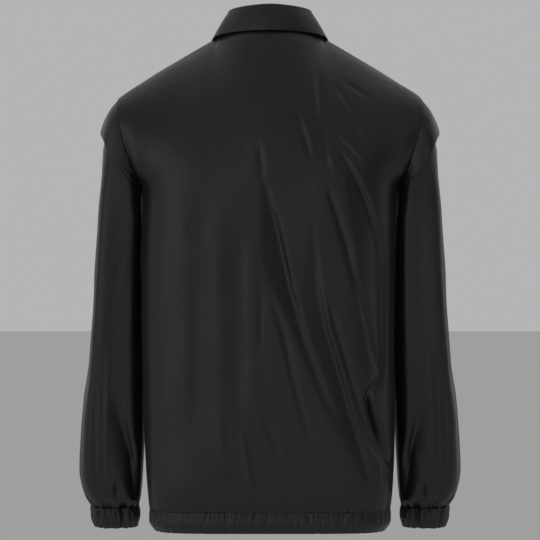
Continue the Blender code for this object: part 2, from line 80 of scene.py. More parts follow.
CLOTH_WALL = 0.0006
CREASE_ROUNDING = 0.0012  # no crease is sharper than this radius
SEAM_DIP = 0.0003  # cloth rolls in by this much where it is sewn
SEAM_ROLL = 0.0022
FREE_FROM_SEAM = (0.001, 0.010)  # folds start and are whole at these distances from a seam
FREE_FROM_HEM = (0.000, 0.030)

Section = namedtuple("Section", "height half_width back front back_square front_square sway")
TORSO = (
    Section(-0.694, 0.1780, 0.116, 0.114, 5.10, 5.10, 0.000),
    Section(-0.668, 0.1820, 0.123, 0.121, 6.20, 5.35, 0.000),
    Section(-0.620, 0.1850, 0.128, 0.126, 7.60, 5.70, 0.000),
    Section(-0.540, 0.1865, 0.131, 0.128, 9.00, 5.95, 0.001),
    Section(-0.440, 0.1870, 0.134, 0.130, 10.00, 6.00, 0.003),
    Section(-0.340, 0.1870, 0.137, 0.132, 10.00, 6.00, 0.003),
    Section(-0.270, 0.1875, 0.139, 0.133, 10.00, 6.00, 0.001),
    Section(-0.219, 0.1880, 0.139, 0.133, 10.00, 6.00, 0.000),
)
Steer = namedtuple("Steer", "y z")
BACK_MIDDLE = (Steer(0.139, UNDERARM_HEIGHT), Steer(0.141, -0.120), Steer(0.100, -0.035), Steer(0.060, 0.012))
FRONT_MIDDLE = (
    Steer(-0.133, UNDERARM_HEIGHT),
    Steer(-0.134, -0.165),
    Steer(-0.108, -0.105),
    Steer(-0.078, -0.070),
)
SHOULDER_STEER = ((0.125, -0.001, -0.022), (0.206, -0.003, -0.0655))
Ring = namedtuple("Ring", "outer_x outer_z inner_x inner_z middle_y half_depth squareness bow steps")
ARMHOLE_RING = Ring(0.2240, -0.0885, 0.1880, -0.2190, -0.002, 0.106, 3.20, 0.007, 1)

# A crease runs from its top to its low end. Its widths are those towards smaller and larger across, and they
# grow by the spread down to the low end. A depth below 0 is a trough, and a power near 1 makes it sharp.
Crease = namedtuple("Crease", "top_x top_z low_x low_z bend minus plus spread depth power rise fall")
BACK_CREASES = (
    Crease(0.0754, -0.230, 0.0760, -0.670, 0.0030, 0.010, 0.012, 1.0, 0.0020, 1.7, 0.30, 0.30),
    Crease(0.0266, -0.260, 0.0280, -0.560, 0.000, 0.009, 0.010, 1.0, 0.0012, 1.8, 0.30, 0.30),
    Crease(0.0438, -0.250, 0.0430, -0.600, 0.000, 0.010, 0.010, 1.0, -0.0016, 1.8, 0.30, 0.30),
    Crease(0.0826, -0.530, 0.0640, -0.682, 0.0060, 0.004, 0.004, 1.0, 0.0012, 1.4, 0.30, 0.30),
    Crease(0.1320, -0.180, 0.1250, -0.560, 0.0040, 0.016, 0.018, 1.0, 0.0022, 1.8, 0.30, 0.30),
    Crease(0.1050, -0.330, 0.1080, -0.620, 0.000, 0.012, 0.010, 1.0, -0.0016, 1.8, 0.30, 0.30),
)

# The main folds of the back. Each runs down a line of points: the cloth falls to the line over its width on
# one side and climbs out over its width on the other, so that each side is a flat facet. The widths are those
# towards smaller and larger across.
FoldPoint = namedtuple("FoldPoint", "across z minus plus depth")
BACK_FOLDS = (
    (  # long facet from the shoulder blade, upper tip
        FoldPoint(0.0145, -0.161, 0.0030, 0.0055, -0.0003),
        FoldPoint(0.0120, -0.185, 0.0030, 0.0065, -0.0022),
        FoldPoint(0.0095, -0.217, 0.0030, 0.0055, -0.0004),
    ),
    (  # long facet from the shoulder blade
        FoldPoint(0.0070, -0.214, 0.0030, 0.0045, -0.0005),
        FoldPoint(-0.0020, -0.250, 0.0035, 0.0130, -0.0046),
        FoldPoint(-0.0135, -0.297, 0.0045, 0.0245, -0.0089),
        FoldPoint(-0.0210, -0.332, 0.0045, 0.0300, -0.0103),
        FoldPoint(-0.0280, -0.365, 0.0045, 0.0270, -0.0089),
        FoldPoint(-0.0380, -0.403, 0.0045, 0.0170, -0.0062),
        FoldPoint(-0.0495, -0.443, 0.0045, 0.0130, -0.0049),
        FoldPoint(-0.0655, -0.486, 0.0045, 0.0115, -0.0041),
        FoldPoint(-0.0810, -0.527, 0.0045, 0.0100, -0.0030),
        FoldPoint(-0.0985, -0.570, 0.0045, 0.0070, -0.0004),
    ),
    (  # facet left of the long ridge
        FoldPoint(-0.0610, -0.274, 0.0030, 0.0070, -0.0004),
        FoldPoint(-0.0645, -0.314, 0.0045, 0.0115, -0.0022),
        FoldPoint(-0.0665, -0.350, 0.0045, 0.0170, -0.0041),
        FoldPoint(-0.0710, -0.382, 0.0045, 0.0230, -0.0059),
        FoldPoint(-0.0795, -0.422, 0.0045, 0.0260, -0.0070),
        FoldPoint(-0.0925, -0.469, 0.0050, 0.0260, -0.0078),
        FoldPoint(-0.1085, -0.523, 0.0050, 0.0260, -0.0078),
        FoldPoint(-0.1245, -0.576, 0.0050, 0.0230, -0.0068),
        FoldPoint(-0.1360, -0.617, 0.0050, 0.0145, -0.0041),
        FoldPoint(-0.1435, -0.649, 0.0045, 0.0070, -0.0005),
    ),
    (  # long narrow ridge
        FoldPoint(-0.0695, -0.365, 0.0045, 0.0035, 0.0003),
        FoldPoint(-0.0780, -0.395, 0.0045, 0.0035, 0.0019),
        FoldPoint(-0.0870, -0.432, 0.0045, 0.0045, 0.0027),
        FoldPoint(-0.1025, -0.481, 0.0045, 0.0045, 0.0027),
        FoldPoint(-0.1215, -0.547, 0.0045, 0.0045, 0.0027),
        FoldPoint(-0.1390, -0.605, 0.0045, 0.0045, 0.0022),
        FoldPoint(-0.1480, -0.646, 0.0045, 0.0045, 0.0003),
    ),
    (  # sharp crease right of the ridge
        FoldPoint(-0.0860, -0.392, 0.0035, 0.0045, -0.0005),
        FoldPoint(-0.0910, -0.412, 0.0045, 0.0055, -0.0028),
        FoldPoint(-0.0970, -0.432, 0.0050, 0.0060, -0.0040),
        FoldPoint(-0.1085, -0.472, 0.0050, 0.0060, -0.0042),
        FoldPoint(-0.1230, -0.523, 0.0050, 0.0060, -0.0042),
        FoldPoint(-0.1405, -0.576, 0.0050, 0.0065, -0.0040),
        FoldPoint(-0.1600, -0.614, 0.0050, 0.0060, -0.0034),
        FoldPoint(-0.1735, -0.637, 0.0045, 0.0060, -0.0005),
    ),
    (  # narrow trough in the middle of the right half
        FoldPoint(-0.0845, -0.225, 0.0030, 0.0045, -0.0004),
        FoldPoint(-0.0895, -0.243, 0.0045, 0.0055, -0.0030),
        FoldPoint(-0.0985, -0.271, 0.0055, 0.0055, -0.0043),
        FoldPoint(-0.1100, -0.307, 0.0055, 0.0070, -0.0043),
        FoldPoint(-0.1200, -0.346, 0.0050, 0.0070, -0.0038),
        FoldPoint(-0.1315, -0.383, 0.0045, 0.0070, -0.0032),
        FoldPoint(-0.1435, -0.422, 0.0045, 0.0070, -0.0035),
        FoldPoint(-0.1510, -0.458, 0.0045, 0.0060, -0.0030),
        FoldPoint(-0.1600, -0.491, 0.0045, 0.0060, -0.0004),
    ),
    (  # broad facet beside the right edge
        FoldPoint(-0.1000, -0.171, 0.0020, 0.0030, -0.0005),
        FoldPoint(-0.1115, -0.189, 0.0030, 0.0070, -0.0027),
        FoldPoint(-0.1260, -0.214, 0.0035, 0.0145, -0.0054),
        FoldPoint(-0.1390, -0.242, 0.0045, 0.0230, -0.0076),
        FoldPoint(-0.1510, -0.275, 0.0050, 0.0305, -0.0092),
        FoldPoint(-0.1600, -0.304, 0.0060, 0.0360, -0.0100),
        FoldPoint(-0.1630, -0.343, 0.0060, 0.0375, -0.0100),
        FoldPoint(-0.1630, -0.386, 0.0060, 0.0375, -0.0095),
        FoldPoint(-0.1620, -0.430, 0.0060, 0.0345, -0.0086),
        FoldPoint(-0.1615, -0.466, 0.0060, 0.0290, -0.0068),
        FoldPoint(-0.1600, -0.495, 0.0060, 0.0205, -0.0041),
        FoldPoint(-0.1585, -0.519, 0.0060, 0.0115, -0.0005),
    ),
    (  # deep slit low on the right
        FoldPoint(-0.1545, -0.498, 0.0035, 0.0035, -0.0014),
        FoldPoint(-0.1480, -0.510, 0.0060, 0.0045, -0.0068),
        FoldPoint(-0.1405, -0.525, 0.0070, 0.0045, -0.0108),
        FoldPoint(-0.1435, -0.545, 0.0085, 0.0045, -0.0149),
        FoldPoint(-0.1525, -0.571, 0.0085, 0.0045, -0.0162),
        FoldPoint(-0.1630, -0.598, 0.0070, 0.0045, -0.0135),
        FoldPoint(-0.1720, -0.618, 0.0060, 0.0045, -0.0081),
        FoldPoint(-0.1770, -0.628, 0.0045, 0.0030, -0.0008),
    ),
    (  # first ridge under the slit
        FoldPoint(-0.1525, -0.617, 0.0025, 0.0025, 0.0004),
        FoldPoint(-0.1570, -0.632, 0.0025, 0.0025, 0.0027),
        FoldPoint(-0.1615, -0.653, 0.0025, 0.0025, 0.0005),
    ),
    (  # second ridge under the slit
        FoldPoint(-0.1630, -0.630, 0.0025, 0.0025, 0.0004),
        FoldPoint(-0.1675, -0.645, 0.0025, 0.0025, 0.0024),
        FoldPoint(-0.1720, -0.663, 0.0025, 0.0025, 0.0005),
    ),
    (  # crease on the shoulder blade
        FoldPoint(-0.0920, -0.146, 0.0020, 0.0020, -0.0004),
        FoldPoint(-0.1010, -0.156, 0.0030, 0.0035, -0.0024),
        FoldPoint(-0.1115, -0.166, 0.0030, 0.0045, -0.0030),
        FoldPoint(-0.1215, -0.178, 0.0030, 0.0045, -0.0024),
        FoldPoint(-0.1315, -0.190, 0.0030, 0.0045, -0.0004),
    ),
    (  # soft streak below the neck
        FoldPoint(-0.0380, -0.110, 0.0045, 0.0055, -0.0003),
        FoldPoint(-0.0435, -0.131, 0.0045, 0.0055, -0.0019),
        FoldPoint(-0.0525, -0.159, 0.0045, 0.0055, -0.0019),
        FoldPoint(-0.0580, -0.185, 0.0045, 0.0055, -0.0003),
    ),
    (  # soft trough from the neck's right end
        FoldPoint(-0.0720, -0.052, 0.0075, 0.0075, -0.0008),
        FoldPoint(-0.0730, -0.086, 0.0070, 0.0070, -0.0030),
        FoldPoint(-0.0755, -0.121, 0.0055, 0.0055, -0.0024),
        FoldPoint(-0.0790, -0.157, 0.0045, 0.0055, -0.0018),
        FoldPoint(-0.0820, -0.192, 0.0045, 0.0045, -0.0003),
    ),
    (  # streak 1 below the right shoulder
        FoldPoint(-0.0975, -0.074, 0.0030, 0.0045, -0.0004),
        FoldPoint(-0.1105, -0.095, 0.0030, 0.0045, -0.0026),
        FoldPoint(-0.1230, -0.117, 0.0030, 0.0045, -0.0004),
    ),
    (  # streak 2 below the right shoulder
        FoldPoint(-0.1080, -0.067, 0.0030, 0.0045, -0.0004),
        FoldPoint(-0.1265, -0.078, 0.0030, 0.0045, -0.0022),
        FoldPoint(-0.1465, -0.093, 0.0030, 0.0045, -0.0004),
    ),
    (  # ridge below them
        FoldPoint(-0.1155, -0.127, 0.0035, 0.0035, 0.0003),
        FoldPoint(-0.1300, -0.146, 0.0035, 0.0035, 0.0018),
        FoldPoint(-0.1435, -0.167, 0.0035, 0.0035, 0.0003),
    ),
    (  # light band
        FoldPoint(-0.0470, -0.098, 0.0070, 0.0085, 0.0003),
        FoldPoint(-0.0550, -0.135, 0.0070, 0.0085, 0.0018),
        FoldPoint(-0.0640, -0.182, 0.0070, 0.0085, 0.0003),
    ),
    (  # light swell
        FoldPoint(-0.0840, -0.164, 0.0070, 0.0070, 0.0003),
        FoldPoint(-0.0895, -0.185, 0.0070, 0.0070, 0.0016),
        FoldPoint(-0.0940, -0.208, 0.0070, 0.0070, 0.0003),
    ),
    (  # valley left of the light ridges
        FoldPoint(-0.0020, -0.382, 0.0030, 0.0030, -0.0005),
        FoldPoint(-0.0110, -0.409, 0.0045, 0.0055, -0.0024),
        FoldPoint(-0.0210, -0.439, 0.0045, 0.0055, -0.0030),
        FoldPoint(-0.0325, -0.494, 0.0045, 0.0055, -0.0027),
        FoldPoint(-0.0465, -0.547, 0.0045, 0.0055, -0.0022),
        FoldPoint(-0.0610, -0.601, 0.0045, 0.0055, -0.0004),
    ),
    (  # wedge above the hem
        FoldPoint(0.0410, -0.575, 0.0020, 0.0020, 0.0004),
        FoldPoint(0.0365, -0.604, 0.0045, 0.0045, 0.0023),
        FoldPoint(0.0310, -0.637, 0.0070, 0.0055, 0.0023),
        FoldPoint(0.0250, -0.666, 0.0085, 0.0070, 0.0007),
    ),
    (  # streak beside the wedge
        FoldPoint(0.0080, -0.555, 0.0055, 0.0055, -0.0004),
        FoldPoint(-0.0005, -0.575, 0.0070, 0.0070, -0.0018),
        FoldPoint(-0.0095, -0.601, 0.0055, 0.0055, -0.0015),
        FoldPoint(-0.0210, -0.633, 0.0055, 0.0055, -0.0004),
    ),
    (  # faint upright crease
        FoldPoint(0.0120, -0.369, 0.0020, 0.0030, -0.0004),
        FoldPoint(0.0135, -0.415, 0.0030, 0.0035, -0.0015),
        FoldPoint(0.0130, -0.455, 0.0020, 0.0030, -0.0004),
    ),
)
FACET_ROUNDING = 0.10  # share of a facet's width over which its far edge is rounded
FOLD_END = 0.006  # a fold fades out over this height past its ends
BACK_SEED = 3
BACK_STREAKS = 36
BACK_STREAK_AREA = ((-0.17, 0.17), (-0.64, -0.10))  # across and in height
STREAK_LENGTH = (0.05, 0.20)  # shortest and longest
STREAK_LEAN = 0.12  # spread of their slants
STREAK_WIDTH = (0.005, 0.014)
STREAK_DEPTH = (0.0002, 0.0006)
STREAK_POWER = 1.6
STREAK_FADE = 0.5  # share of the length over which each end fades
SWELLS = 14
SWELL_HEIGHT = 0.0010
SWELL_WIDTH = (0.05, 0.16)
SWELL_LENGTH = (0.12, 0.40)
SWELL_TILT = 0.35  # spread of their slants
LAP = 0.015  # each front passes the middle line by this much

# The elastic in the hem draws up the lower edge of every body piece, most of all at the sides
GatherZone = namedtuple("GatherZone", "start end count depth reach slant")
Gather = namedtuple("Gather", "at depth width reach slant")
HEM_ZONES = (
    GatherZone(0.00, 0.17, 22, 0.0012, 0.010, 0.25),
    GatherZone(0.17, 0.34, 25, 0.0031, 0.016, 0.15),
    GatherZone(0.34, 0.66, 50, 0.0014, 0.010, 0.30),
    GatherZone(0.66, 0.83, 25, 0.0031, 0.016, 0.15),
    GatherZone(0.83, 1.00, 22, 0.0012, 0.010, 0.25),
)
HEM_SEED = 11
GATHER_STRAY = 0.38  # share of the spacing by which a gather may stray from its place
GATHER_DEPTHS = (0.25, 1.35)  # least and most, as shares of the zone's depth
GATHER_WIDTHS = (0.20, 0.36)  # as shares of the spacing
GATHER_REACHES = (0.3, 1.8)  # as shares of the zone's reach
GATHER_FADE = 1.3  # power by which a gather fades on its way from the seam

# The armhole seam is eased, so the cloth beside it puckers; runs are measured up the side of the panel
ARMHOLE_ZONES = (GatherZone(0.49, 0.76, 24, 0.0009, 0.007, 0.4),)
ARMHOLE_SEED = 12

TAFFETA_DARK = (0.0092, 0.0104, 0.0100, 1.0)
TAFFETA_LIGHT = (0.0140, 0.0154, 0.0149, 1.0)
TAFFETA_SMOOTHEST = 0.35
TAFFETA_ROUGHEST = 0.43
WEAVE_PITCH = 0.0007
WEAVE_DEPTH = 0.0004
WEAVE_STRENGTH = 0.12
WEAVE_PART = 0.3  # height of the crossing yarns against that of the slub
SLUB = (1 / 0.004, 1 / 0.09)  # streaks in the yarn: so many a metre across and along
SLUB_DETAIL = 3
SLUB_PART = 0.4  # of the tone
SLUB_GLOSS = (0.3, 0.7)  # the slub's values at the smoothest and at the roughest
MOTTLE = 14  # cloudy patches: so many a metre
MOTTLE_DETAIL = 4
MOTTLE_PART = 0.6  # of the tone
DIMPLES = 70  # soft unevenness of thin cloth: so many a metre
DIMPLE_DETAIL = 3
DIMPLE_DEPTH = 0.0016
DIMPLE_STRENGTH = 0.5
SHEEN = 0.04
SHEEN_ROUGHNESS = 0.35


def smooth(at, knots, values):
    """Values of a curve through the knots that never swings past them."""
    at = np.asarray(at, float)
    steps = np.diff(knots)
    slopes = np.diff(values) / steps
    tangents = np.zeros(len(values))
    tangents[0], tangents[-1] = slopes[0], slopes[-1]
    before, after = slopes[:-1], slopes[1:]
    same_way = before * after > 0
    tangents[1:-1][same_way] = 2 * before[same_way] * after[same_way] / (before + after)[same_way]
    i = np.clip(np.searchsorted(knots, at, side="right") - 1, 0, len(steps) - 1)
    q = (at - knots[i]) / steps[i]
    rise = values[i + 1] - values[i]
    return (
        values[i]
        + rise * q * q * (3 - 2 * q)
        + steps[i] * q * (1 - q) * (tangents[i] * (1 - q) - tangents[i + 1] * q)
    )


def rows_at(rows, knots, at):
    """The table's rows, smoothly filled in between, as a dictionary of columns."""
    columns = {name: np.array([getattr(row, name) for row in rows]) for name in rows[0]._fields}
    return {name: smooth(at, knots, column) for name, column in columns.items()}


def soft_step(value, low, high):
    share = np.clip((value - low) / (high - low), 0, 1)
    return share * share * (3 - 2 * share)


def steered(points, shares):
    """Points on the cubic curve that four points steer."""
    a, b, c, d = (np.asarray(p, float) for p in points)
    q = np.asarray(shares, float)[:, None]
    return a * (1 - q) ** 3 + 3 * b * q * (1 - q) ** 2 + 3 * c * q * q * (1 - q) + d * q**3


def evenly(line, shares):
    """Points at these shares of a line's length."""
    run = np.concatenate([[0], np.cumsum(np.linalg.norm(np.diff(line, axis=0), axis=1))])
    return np.stack([np.interp(np.asarray(shares) * run[-1], run, line[:, k]) for k in range(3)], axis=1)


def rounded(turn, squareness):
    """Sideways and deep shares of a rounded box's outline at an angle from its side."""
    power = 2 / squareness
    side, deep = np.cos(turn), np.sin(turn)
    return np.sign(side) * np.abs(side) ** power, np.sign(deep) * np.abs(deep) ** power


def ring_line(ring, turns):
    """A leaning sleeve ring: angle 0 is the underarm line, a half turn the outside, front first."""
    side, deep = rounded(turns, ring["squareness"])
    out = -side
    half_x = (ring["outer_x"] - ring["inner_x"]) / 2
    half_z = (ring["outer_z"] - ring["inner_z"]) / 2
    length = math.hypot(half_x, half_z)
    swell = ring["bow"] * (1 - out * out)
    x = ring["inner_x"] + half_x * (1 + out) + swell * half_z / length
    z = ring["inner_z"] + half_z * (1 + out) - swell * half_x / length
    return np.stack([x, ring["middle_y"] - ring["half_depth"] * deep, z], axis=-1)


def armhole(front):
    """The armhole seam from the underarm to the shoulder tip, by the back or by the front."""
    turns = np.linspace(0, math.pi, UPPER_ROWS + 1)
    return ring_line(ARMHOLE_RING._asdict(), turns if front else -turns)


def level_arc(section, front, shares):
    """Half of a body section, from the middle line to the side seam."""
    squareness = section["front_square"] if front else section["back_square"]
    side, deep = rounded(np.linspace(math.pi / 2, 0, FINE), squareness)
    depth = -section["front"] if front else section["back"]
    line = np.stack([section["half_width"] * side, depth * deep, np.full(FINE, section["height"])], axis=1)
    return evenly(line, shares)


def neck_and_shoulder(front, shares):
    """Top edge of half a panel: neckline from the middle to the neck point, then the shoulder seam."""
    middle = (FRONT_MIDDLE if front else BACK_MIDDLE)[-1]
    turn = np.linspace(0, math.pi / 2, FINE)
    side, _, top = NECK_POINT
    neck = np.stack(
        [side * np.sin(turn), middle.y * np.cos(turn), top + (middle.z - top) * np.cos(turn)],
        axis=1,
    )
    tip = armhole(front)[-1]
    shoulder = steered([NECK_POINT, *SHOULDER_STEER, tip], np.linspace(0, 1, FINE))
    split = NECK_ACROSS / HALF_ACROSS
    on_neck = evenly(neck, np.clip(shares / split, 0, 1))
    on_shoulder = evenly(shoulder, np.clip((shares - split) / (1 - split), 0, 1))
    return np.where((shares <= split)[:, None], on_neck, on_shoulder)


def upper_rows(front, shares):
    """Half a panel above the underarm: arcs cut off by the armhole, becoming the neck and shoulder line."""
    edges = armhole(front)
    ups = np.linspace(0, 1, UPPER_ROWS + 1)
    steer = [(0, point.y, point.z) for point in (FRONT_MIDDLE if front else BACK_MIDDLE)]
    middles = evenly(steered(steer, np.linspace(0, 1, FINE)), ups)
    ends = neck_and_shoulder(front, np.array([0.0, 1.0]))
    s = shares[:, None]
    top_swell = neck_and_shoulder(front, shares) - ((1 - s) * ends[0] + s * ends[1])
    power = 2 / (TORSO[-1].front_square if front else TORSO[-1].back_square)
    rows = []
    for up, middle, edge in zip(ups, middles, edges):
        cut = np.clip(edge[1] / middle[1], 0, MOST_CUT)
        end = math.acos(cut ** (1 / power))
        turn = np.linspace(0, end, FINE)
        x = edge[0] * (np.sin(turn) / math.sin(end)) ** power
        deep = (np.cos(turn) ** power - cut) / (1 - cut)
        y = edge[1] + (middle[1] - edge[1]) * deep
        z = middle[2] + (edge[2] - middle[2]) * x / edge[0]
        arc = evenly(np.stack([x, y, z], axis=1), shares)
        straight = (1 - s) * middle + s * edge
        near_top = soft_step(up, NECK_START, 1)
        rows.append(arc * (1 - near_top) + (straight + top_swell) * near_top)
    return rows


def half_panel(front, shares):
    """Rows of points from the hem seam to the top edge, from a middle line (share 0) to a side."""
    heights = np.linspace(HEM_SEAM_HEIGHT, UNDERARM_HEIGHT, LOWER_ROWS + 1)
    sections = rows_at(TORSO, np.array([row.height for row in TORSO]), heights)
    lower = [level_arc({k: v[i] for k, v in sections.items()}, front, shares) for i in range(LOWER_ROWS)]
    return np.array(lower + upper_rows(front, shares))


def relaxed(grid):
    """The grid with its inner points eased towards their neighbours, as cloth evens out; seams stay."""
    rows, columns = grid.shape[:2]
    row, column = np.arange(rows)[:, None], np.arange(columns)[None, :]
    from_top = soft_step(rows - 1 - row, 0, SEAM_REACH) * soft_step(row, 0, SEAM_REACH)
    from_side = soft_step(np.minimum(column, columns - 1 - column), 0, SEAM_REACH)
    freely = (from_top * from_side)[..., None]
    eased = grid.copy()
    for _ in range(RELAX_ROUNDS):
        above_below = (np.roll(eased, 1, axis=0) + np.roll(eased, -1, axis=0)) / 2
        beside = (np.roll(eased, 1, axis=1) + np.roll(eased, -1, axis=1)) / 2
        eased = eased + freely * (above_below - eased) * EASE_UP
        eased = eased + freely * (beside - eased) * EASE_ACROSS
    return eased


def sway_at(height):
    """How far the body hangs to its left at a height."""
    knots = np.array([row.height for row in TORSO])
    return smooth(np.clip(height, knots[0], knots[-1]), knots, np.array([row.sway for row in TORSO]))


def swayed(grid):
    """The body hangs a little to one side."""
    moved = grid.copy()
    moved[..., 0] += np.where(grid[..., 2] < UNDERARM_HEIGHT, sway_at(grid[..., 2]), 0)
    return moved


def splined(values, times):
    """Rows with each span cut into this many along a smooth curve through all of them."""
    count = len(values)
    matrix = 4 * np.eye(count) + np.eye(count, k=1) + np.eye(count, k=-1)
    matrix[0], matrix[-1] = np.eye(count)[0], np.eye(count)[-1]
    turning = np.zeros_like(values)
    turning[1:-1] = 6 * (values[2:] - 2 * values[1:-1] + values[:-2])
    bends = np.linalg.solve(matrix, turning.reshape(count, -1)).reshape(values.shape)
    at = np.arange((count - 1) * times + 1) / times
    i = np.minimum(at.astype(int), count - 2)
    q = (at - i).reshape(-1, *[1] * (values.ndim - 1))
    p = 1 - q
    return p * values[i] + q * values[i + 1] + ((p**3 - p) * bends[i] + (q**3 - q) * bends[i + 1]) / 6


def whole_panel(front, across_times):
    """The back, or both fronts before they are parted, with columns left to right as seen from outside."""
    half = half_panel(front, np.linspace(0, 1, HALF_ACROSS + 1))
    top = neck_and_shoulder(front, np.linspace(0, 1, HALF_ACROSS * across_times + 1))[None]
    both = []
    for part in (half, top):
        other = part * np.array([-1, 1, 1])
        left, right = (other, part) if front else (part, other)
        both.append(np.concatenate([left[:, :0:-1], right], axis=1))
    main = relaxed(both[0])
    panel = splined(splined(main, UP_TIMES).swapaxes(0, 1), across_times).swapaxes(0, 1)
    rows = len(panel)
    nearness = soft_step(np.arange(rows), rows - 1 - TOP_EASE, rows - 1)
    return swayed(panel + nearness[:, None, None] * (both[1] - panel[-1]))


def outward(grid, closed=False):
    """Unit normals, for columns that run left to right and rows that run upwards as seen from outside."""
    across = np.roll(grid, -1, axis=1) - np.roll(grid, 1, axis=1) if closed else np.gradient(grid, axis=1)
    normal = np.cross(across, np.gradient(grid, axis=0))
    return normal / np.linalg.norm(normal, axis=-1, keepdims=True)


def from_edges(grid):
    """Lengths along the cloth from each point to the panel's left, right, low and top edges."""
    across = np.linalg.norm(np.diff(grid, axis=1), axis=-1)
    up = np.linalg.norm(np.diff(grid, axis=0), axis=-1)
    left = np.pad(np.cumsum(across, axis=1), ((0, 0), (1, 0)))
    low = np.pad(np.cumsum(up, axis=0), ((1, 0), (0, 0)))
    return left, left[:, -1:] - left, low, low[-1:] - low


def pressed(across, height, creases, girth=None):
    """Outward shift of the cloth from these creases, each fading at its two ends."""
    total = np.zeros_like(across)
    for crease in creases:
        run_x, run_z = crease.low_x - crease.top_x, crease.low_z - crease.top_z
        length = math.hypot(run_x, run_z)
        along_x, along_z = run_x / length, run_z / length
        from_x, from_z = across - crease.top_x, height - crease.top_z
        if girth:
            from_x = (from_x + girth / 2) % girth - girth / 2
        share = (from_x * along_x + from_z * along_z) / length
        inside = np.clip(share, 0, 1)
        bent = 4 * crease.bend * inside * (1 - inside)
        beside = from_x * along_z - from_z * along_x - bent
        width = np.where(beside > 0, crease.minus, crease.plus) * (1 + (crease.spread - 1) * inside)
        apart = np.sqrt(beside**2 + CREASE_ROUNDING**2) - CREASE_ROUNDING
        fade = soft_step(share, 0, crease.rise) * soft_step(1 - share, 0, crease.fall)
        total += crease.depth * fade * np.exp(-((apart / width) ** crease.power))
    return total


def faceted(across, height, folds):
    """Outward shift of the cloth from folds that have a flat facet on each side of their line."""
    total = np.zeros_like(across)
    for fold in folds:
        rows = fold[::-1]
        knots = np.array([row.z for row in rows])
        at = np.clip(height, knots[0], knots[-1])
        line = rows_at(rows, knots, at)
        ahead = rows_at(rows, knots, np.clip(at + FOLD_END, knots[0], knots[-1]))["across"]
        behind = rows_at(rows, knots, np.clip(at - FOLD_END, knots[0], knots[-1]))["across"]
        slant = (ahead - behind) / (2 * FOLD_END)
        beside = (across - line["across"]) / np.sqrt(1 + slant**2)
        apart = np.sqrt(beside**2 + CREASE_ROUNDING**2) - CREASE_ROUNDING
        ramp = 1 - apart / np.where(beside > 0, line["plus"], line["minus"])
        ramp = (ramp + np.sqrt(ramp**2 + FACET_ROUNDING**2)) / 2
        past_end = np.abs(height - at)
        total += line["depth"] * ramp * (1 - soft_step(past_end, 0, FOLD_END))
    return total


def faint_streaks(seed, count, across_span, height_span):
    """Small uneven creases that run nearly with the warp."""
    rng = np.random.default_rng(seed)
    rows = []
    for _ in range(count):
        x, z = rng.uniform(*across_span), rng.uniform(*height_span)
        length = rng.uniform(*STREAK_LENGTH)
        low_x = x + rng.normal(0, STREAK_LEAN) * length
        top_z, low_z = z + length / 2, z - length / 2
        minus, plus = rng.uniform(*STREAK_WIDTH, 2)
        depth = rng.choice((-1, 1)) * rng.uniform(*STREAK_DEPTH)
        ends = (STREAK_POWER, STREAK_FADE, STREAK_FADE)
        rows.append(Crease(x, top_z, low_x, low_z, 0, minus, plus, 1, depth, *ends))
    return rows


def swells(across, height, seed):
    """Slow swells in the cloth, taller than they are wide."""
    rng = np.random.default_rng(seed)
    total = np.zeros_like(across)
    for _ in range(SWELLS):
        wide, tall = rng.uniform(*SWELL_WIDTH), rng.uniform(*SWELL_LENGTH)
        tilt, start = rng.normal(0, SWELL_TILT), rng.uniform(0, 2 * math.pi)
        total += np.sin(2 * math.pi * (across / wide + (height + tilt * across) / tall) + start) * wide
    return SWELL_HEIGHT * total / np.abs(total).max()


def scattered_gathers(zones, length, seed):
    """Gathers spaced unevenly along a seam: narrow troughs with their own depth, width, reach and slant."""
    rng = np.random.default_rng(seed)
    rows = []
    for zone in zones:
        spacing = (zone.end - zone.start) * length / zone.count
        for number in range(zone.count):
            stray = rng.uniform(-GATHER_STRAY, GATHER_STRAY)
            at = zone.start * length + (number + 0.5 + stray) * spacing
            depth = -zone.depth * rng.uniform(*GATHER_DEPTHS)
            width = spacing * rng.uniform(*GATHER_WIDTHS)
            reach = zone.reach * rng.uniform(*GATHER_REACHES)
            rows.append(Gather(at, depth, width, reach, rng.normal(0, zone.slant)))
    return rows


def gathered(run, rise, gathers, length=None):
    """Outward shift of cloth drawn up along a seam, at this run along it and this rise above it."""
    total = np.zeros(np.broadcast(run, rise).shape)
    for gather in gathers:
        beside = run - gather.at - gather.slant * rise
        if length:
            beside = (beside + length / 2) % length - length / 2
        fade = np.exp(-((np.maximum(rise, 0) / gather.reach) ** GATHER_FADE))
        total += gather.depth * fade * np.exp(-((beside / gather.width) ** 2))
    return total


def finish_step(tree, kind, inputs=None, **settings):
    """One node of a finish: each input is a plain value, or the output of another node."""
    node = tree.nodes.new("ShaderNode" + kind)
    for setting, value in settings.items():
        setattr(node, setting, value)
    for name, value in (inputs or {}).items():
        if isinstance(value, bpy.types.NodeSocket):
            tree.links.new(value, node.inputs[name])
        else:
            node.inputs[name].default_value = value
    return node


def new_finish(name):
    """A new material, its node tree and its shader."""
    material = bpy.data.materials.new(name)
    material.use_nodes = True
    return material, material.node_tree, material.node_tree.nodes["Principled BSDF"]


def speckle(tree, place, scale, detail):
    """Soft random tones, so many a metre."""
    return finish_step(tree, "TexNoise", {"Vector": place, "Scale": scale, "Detail": detail}).outputs["Fac"]


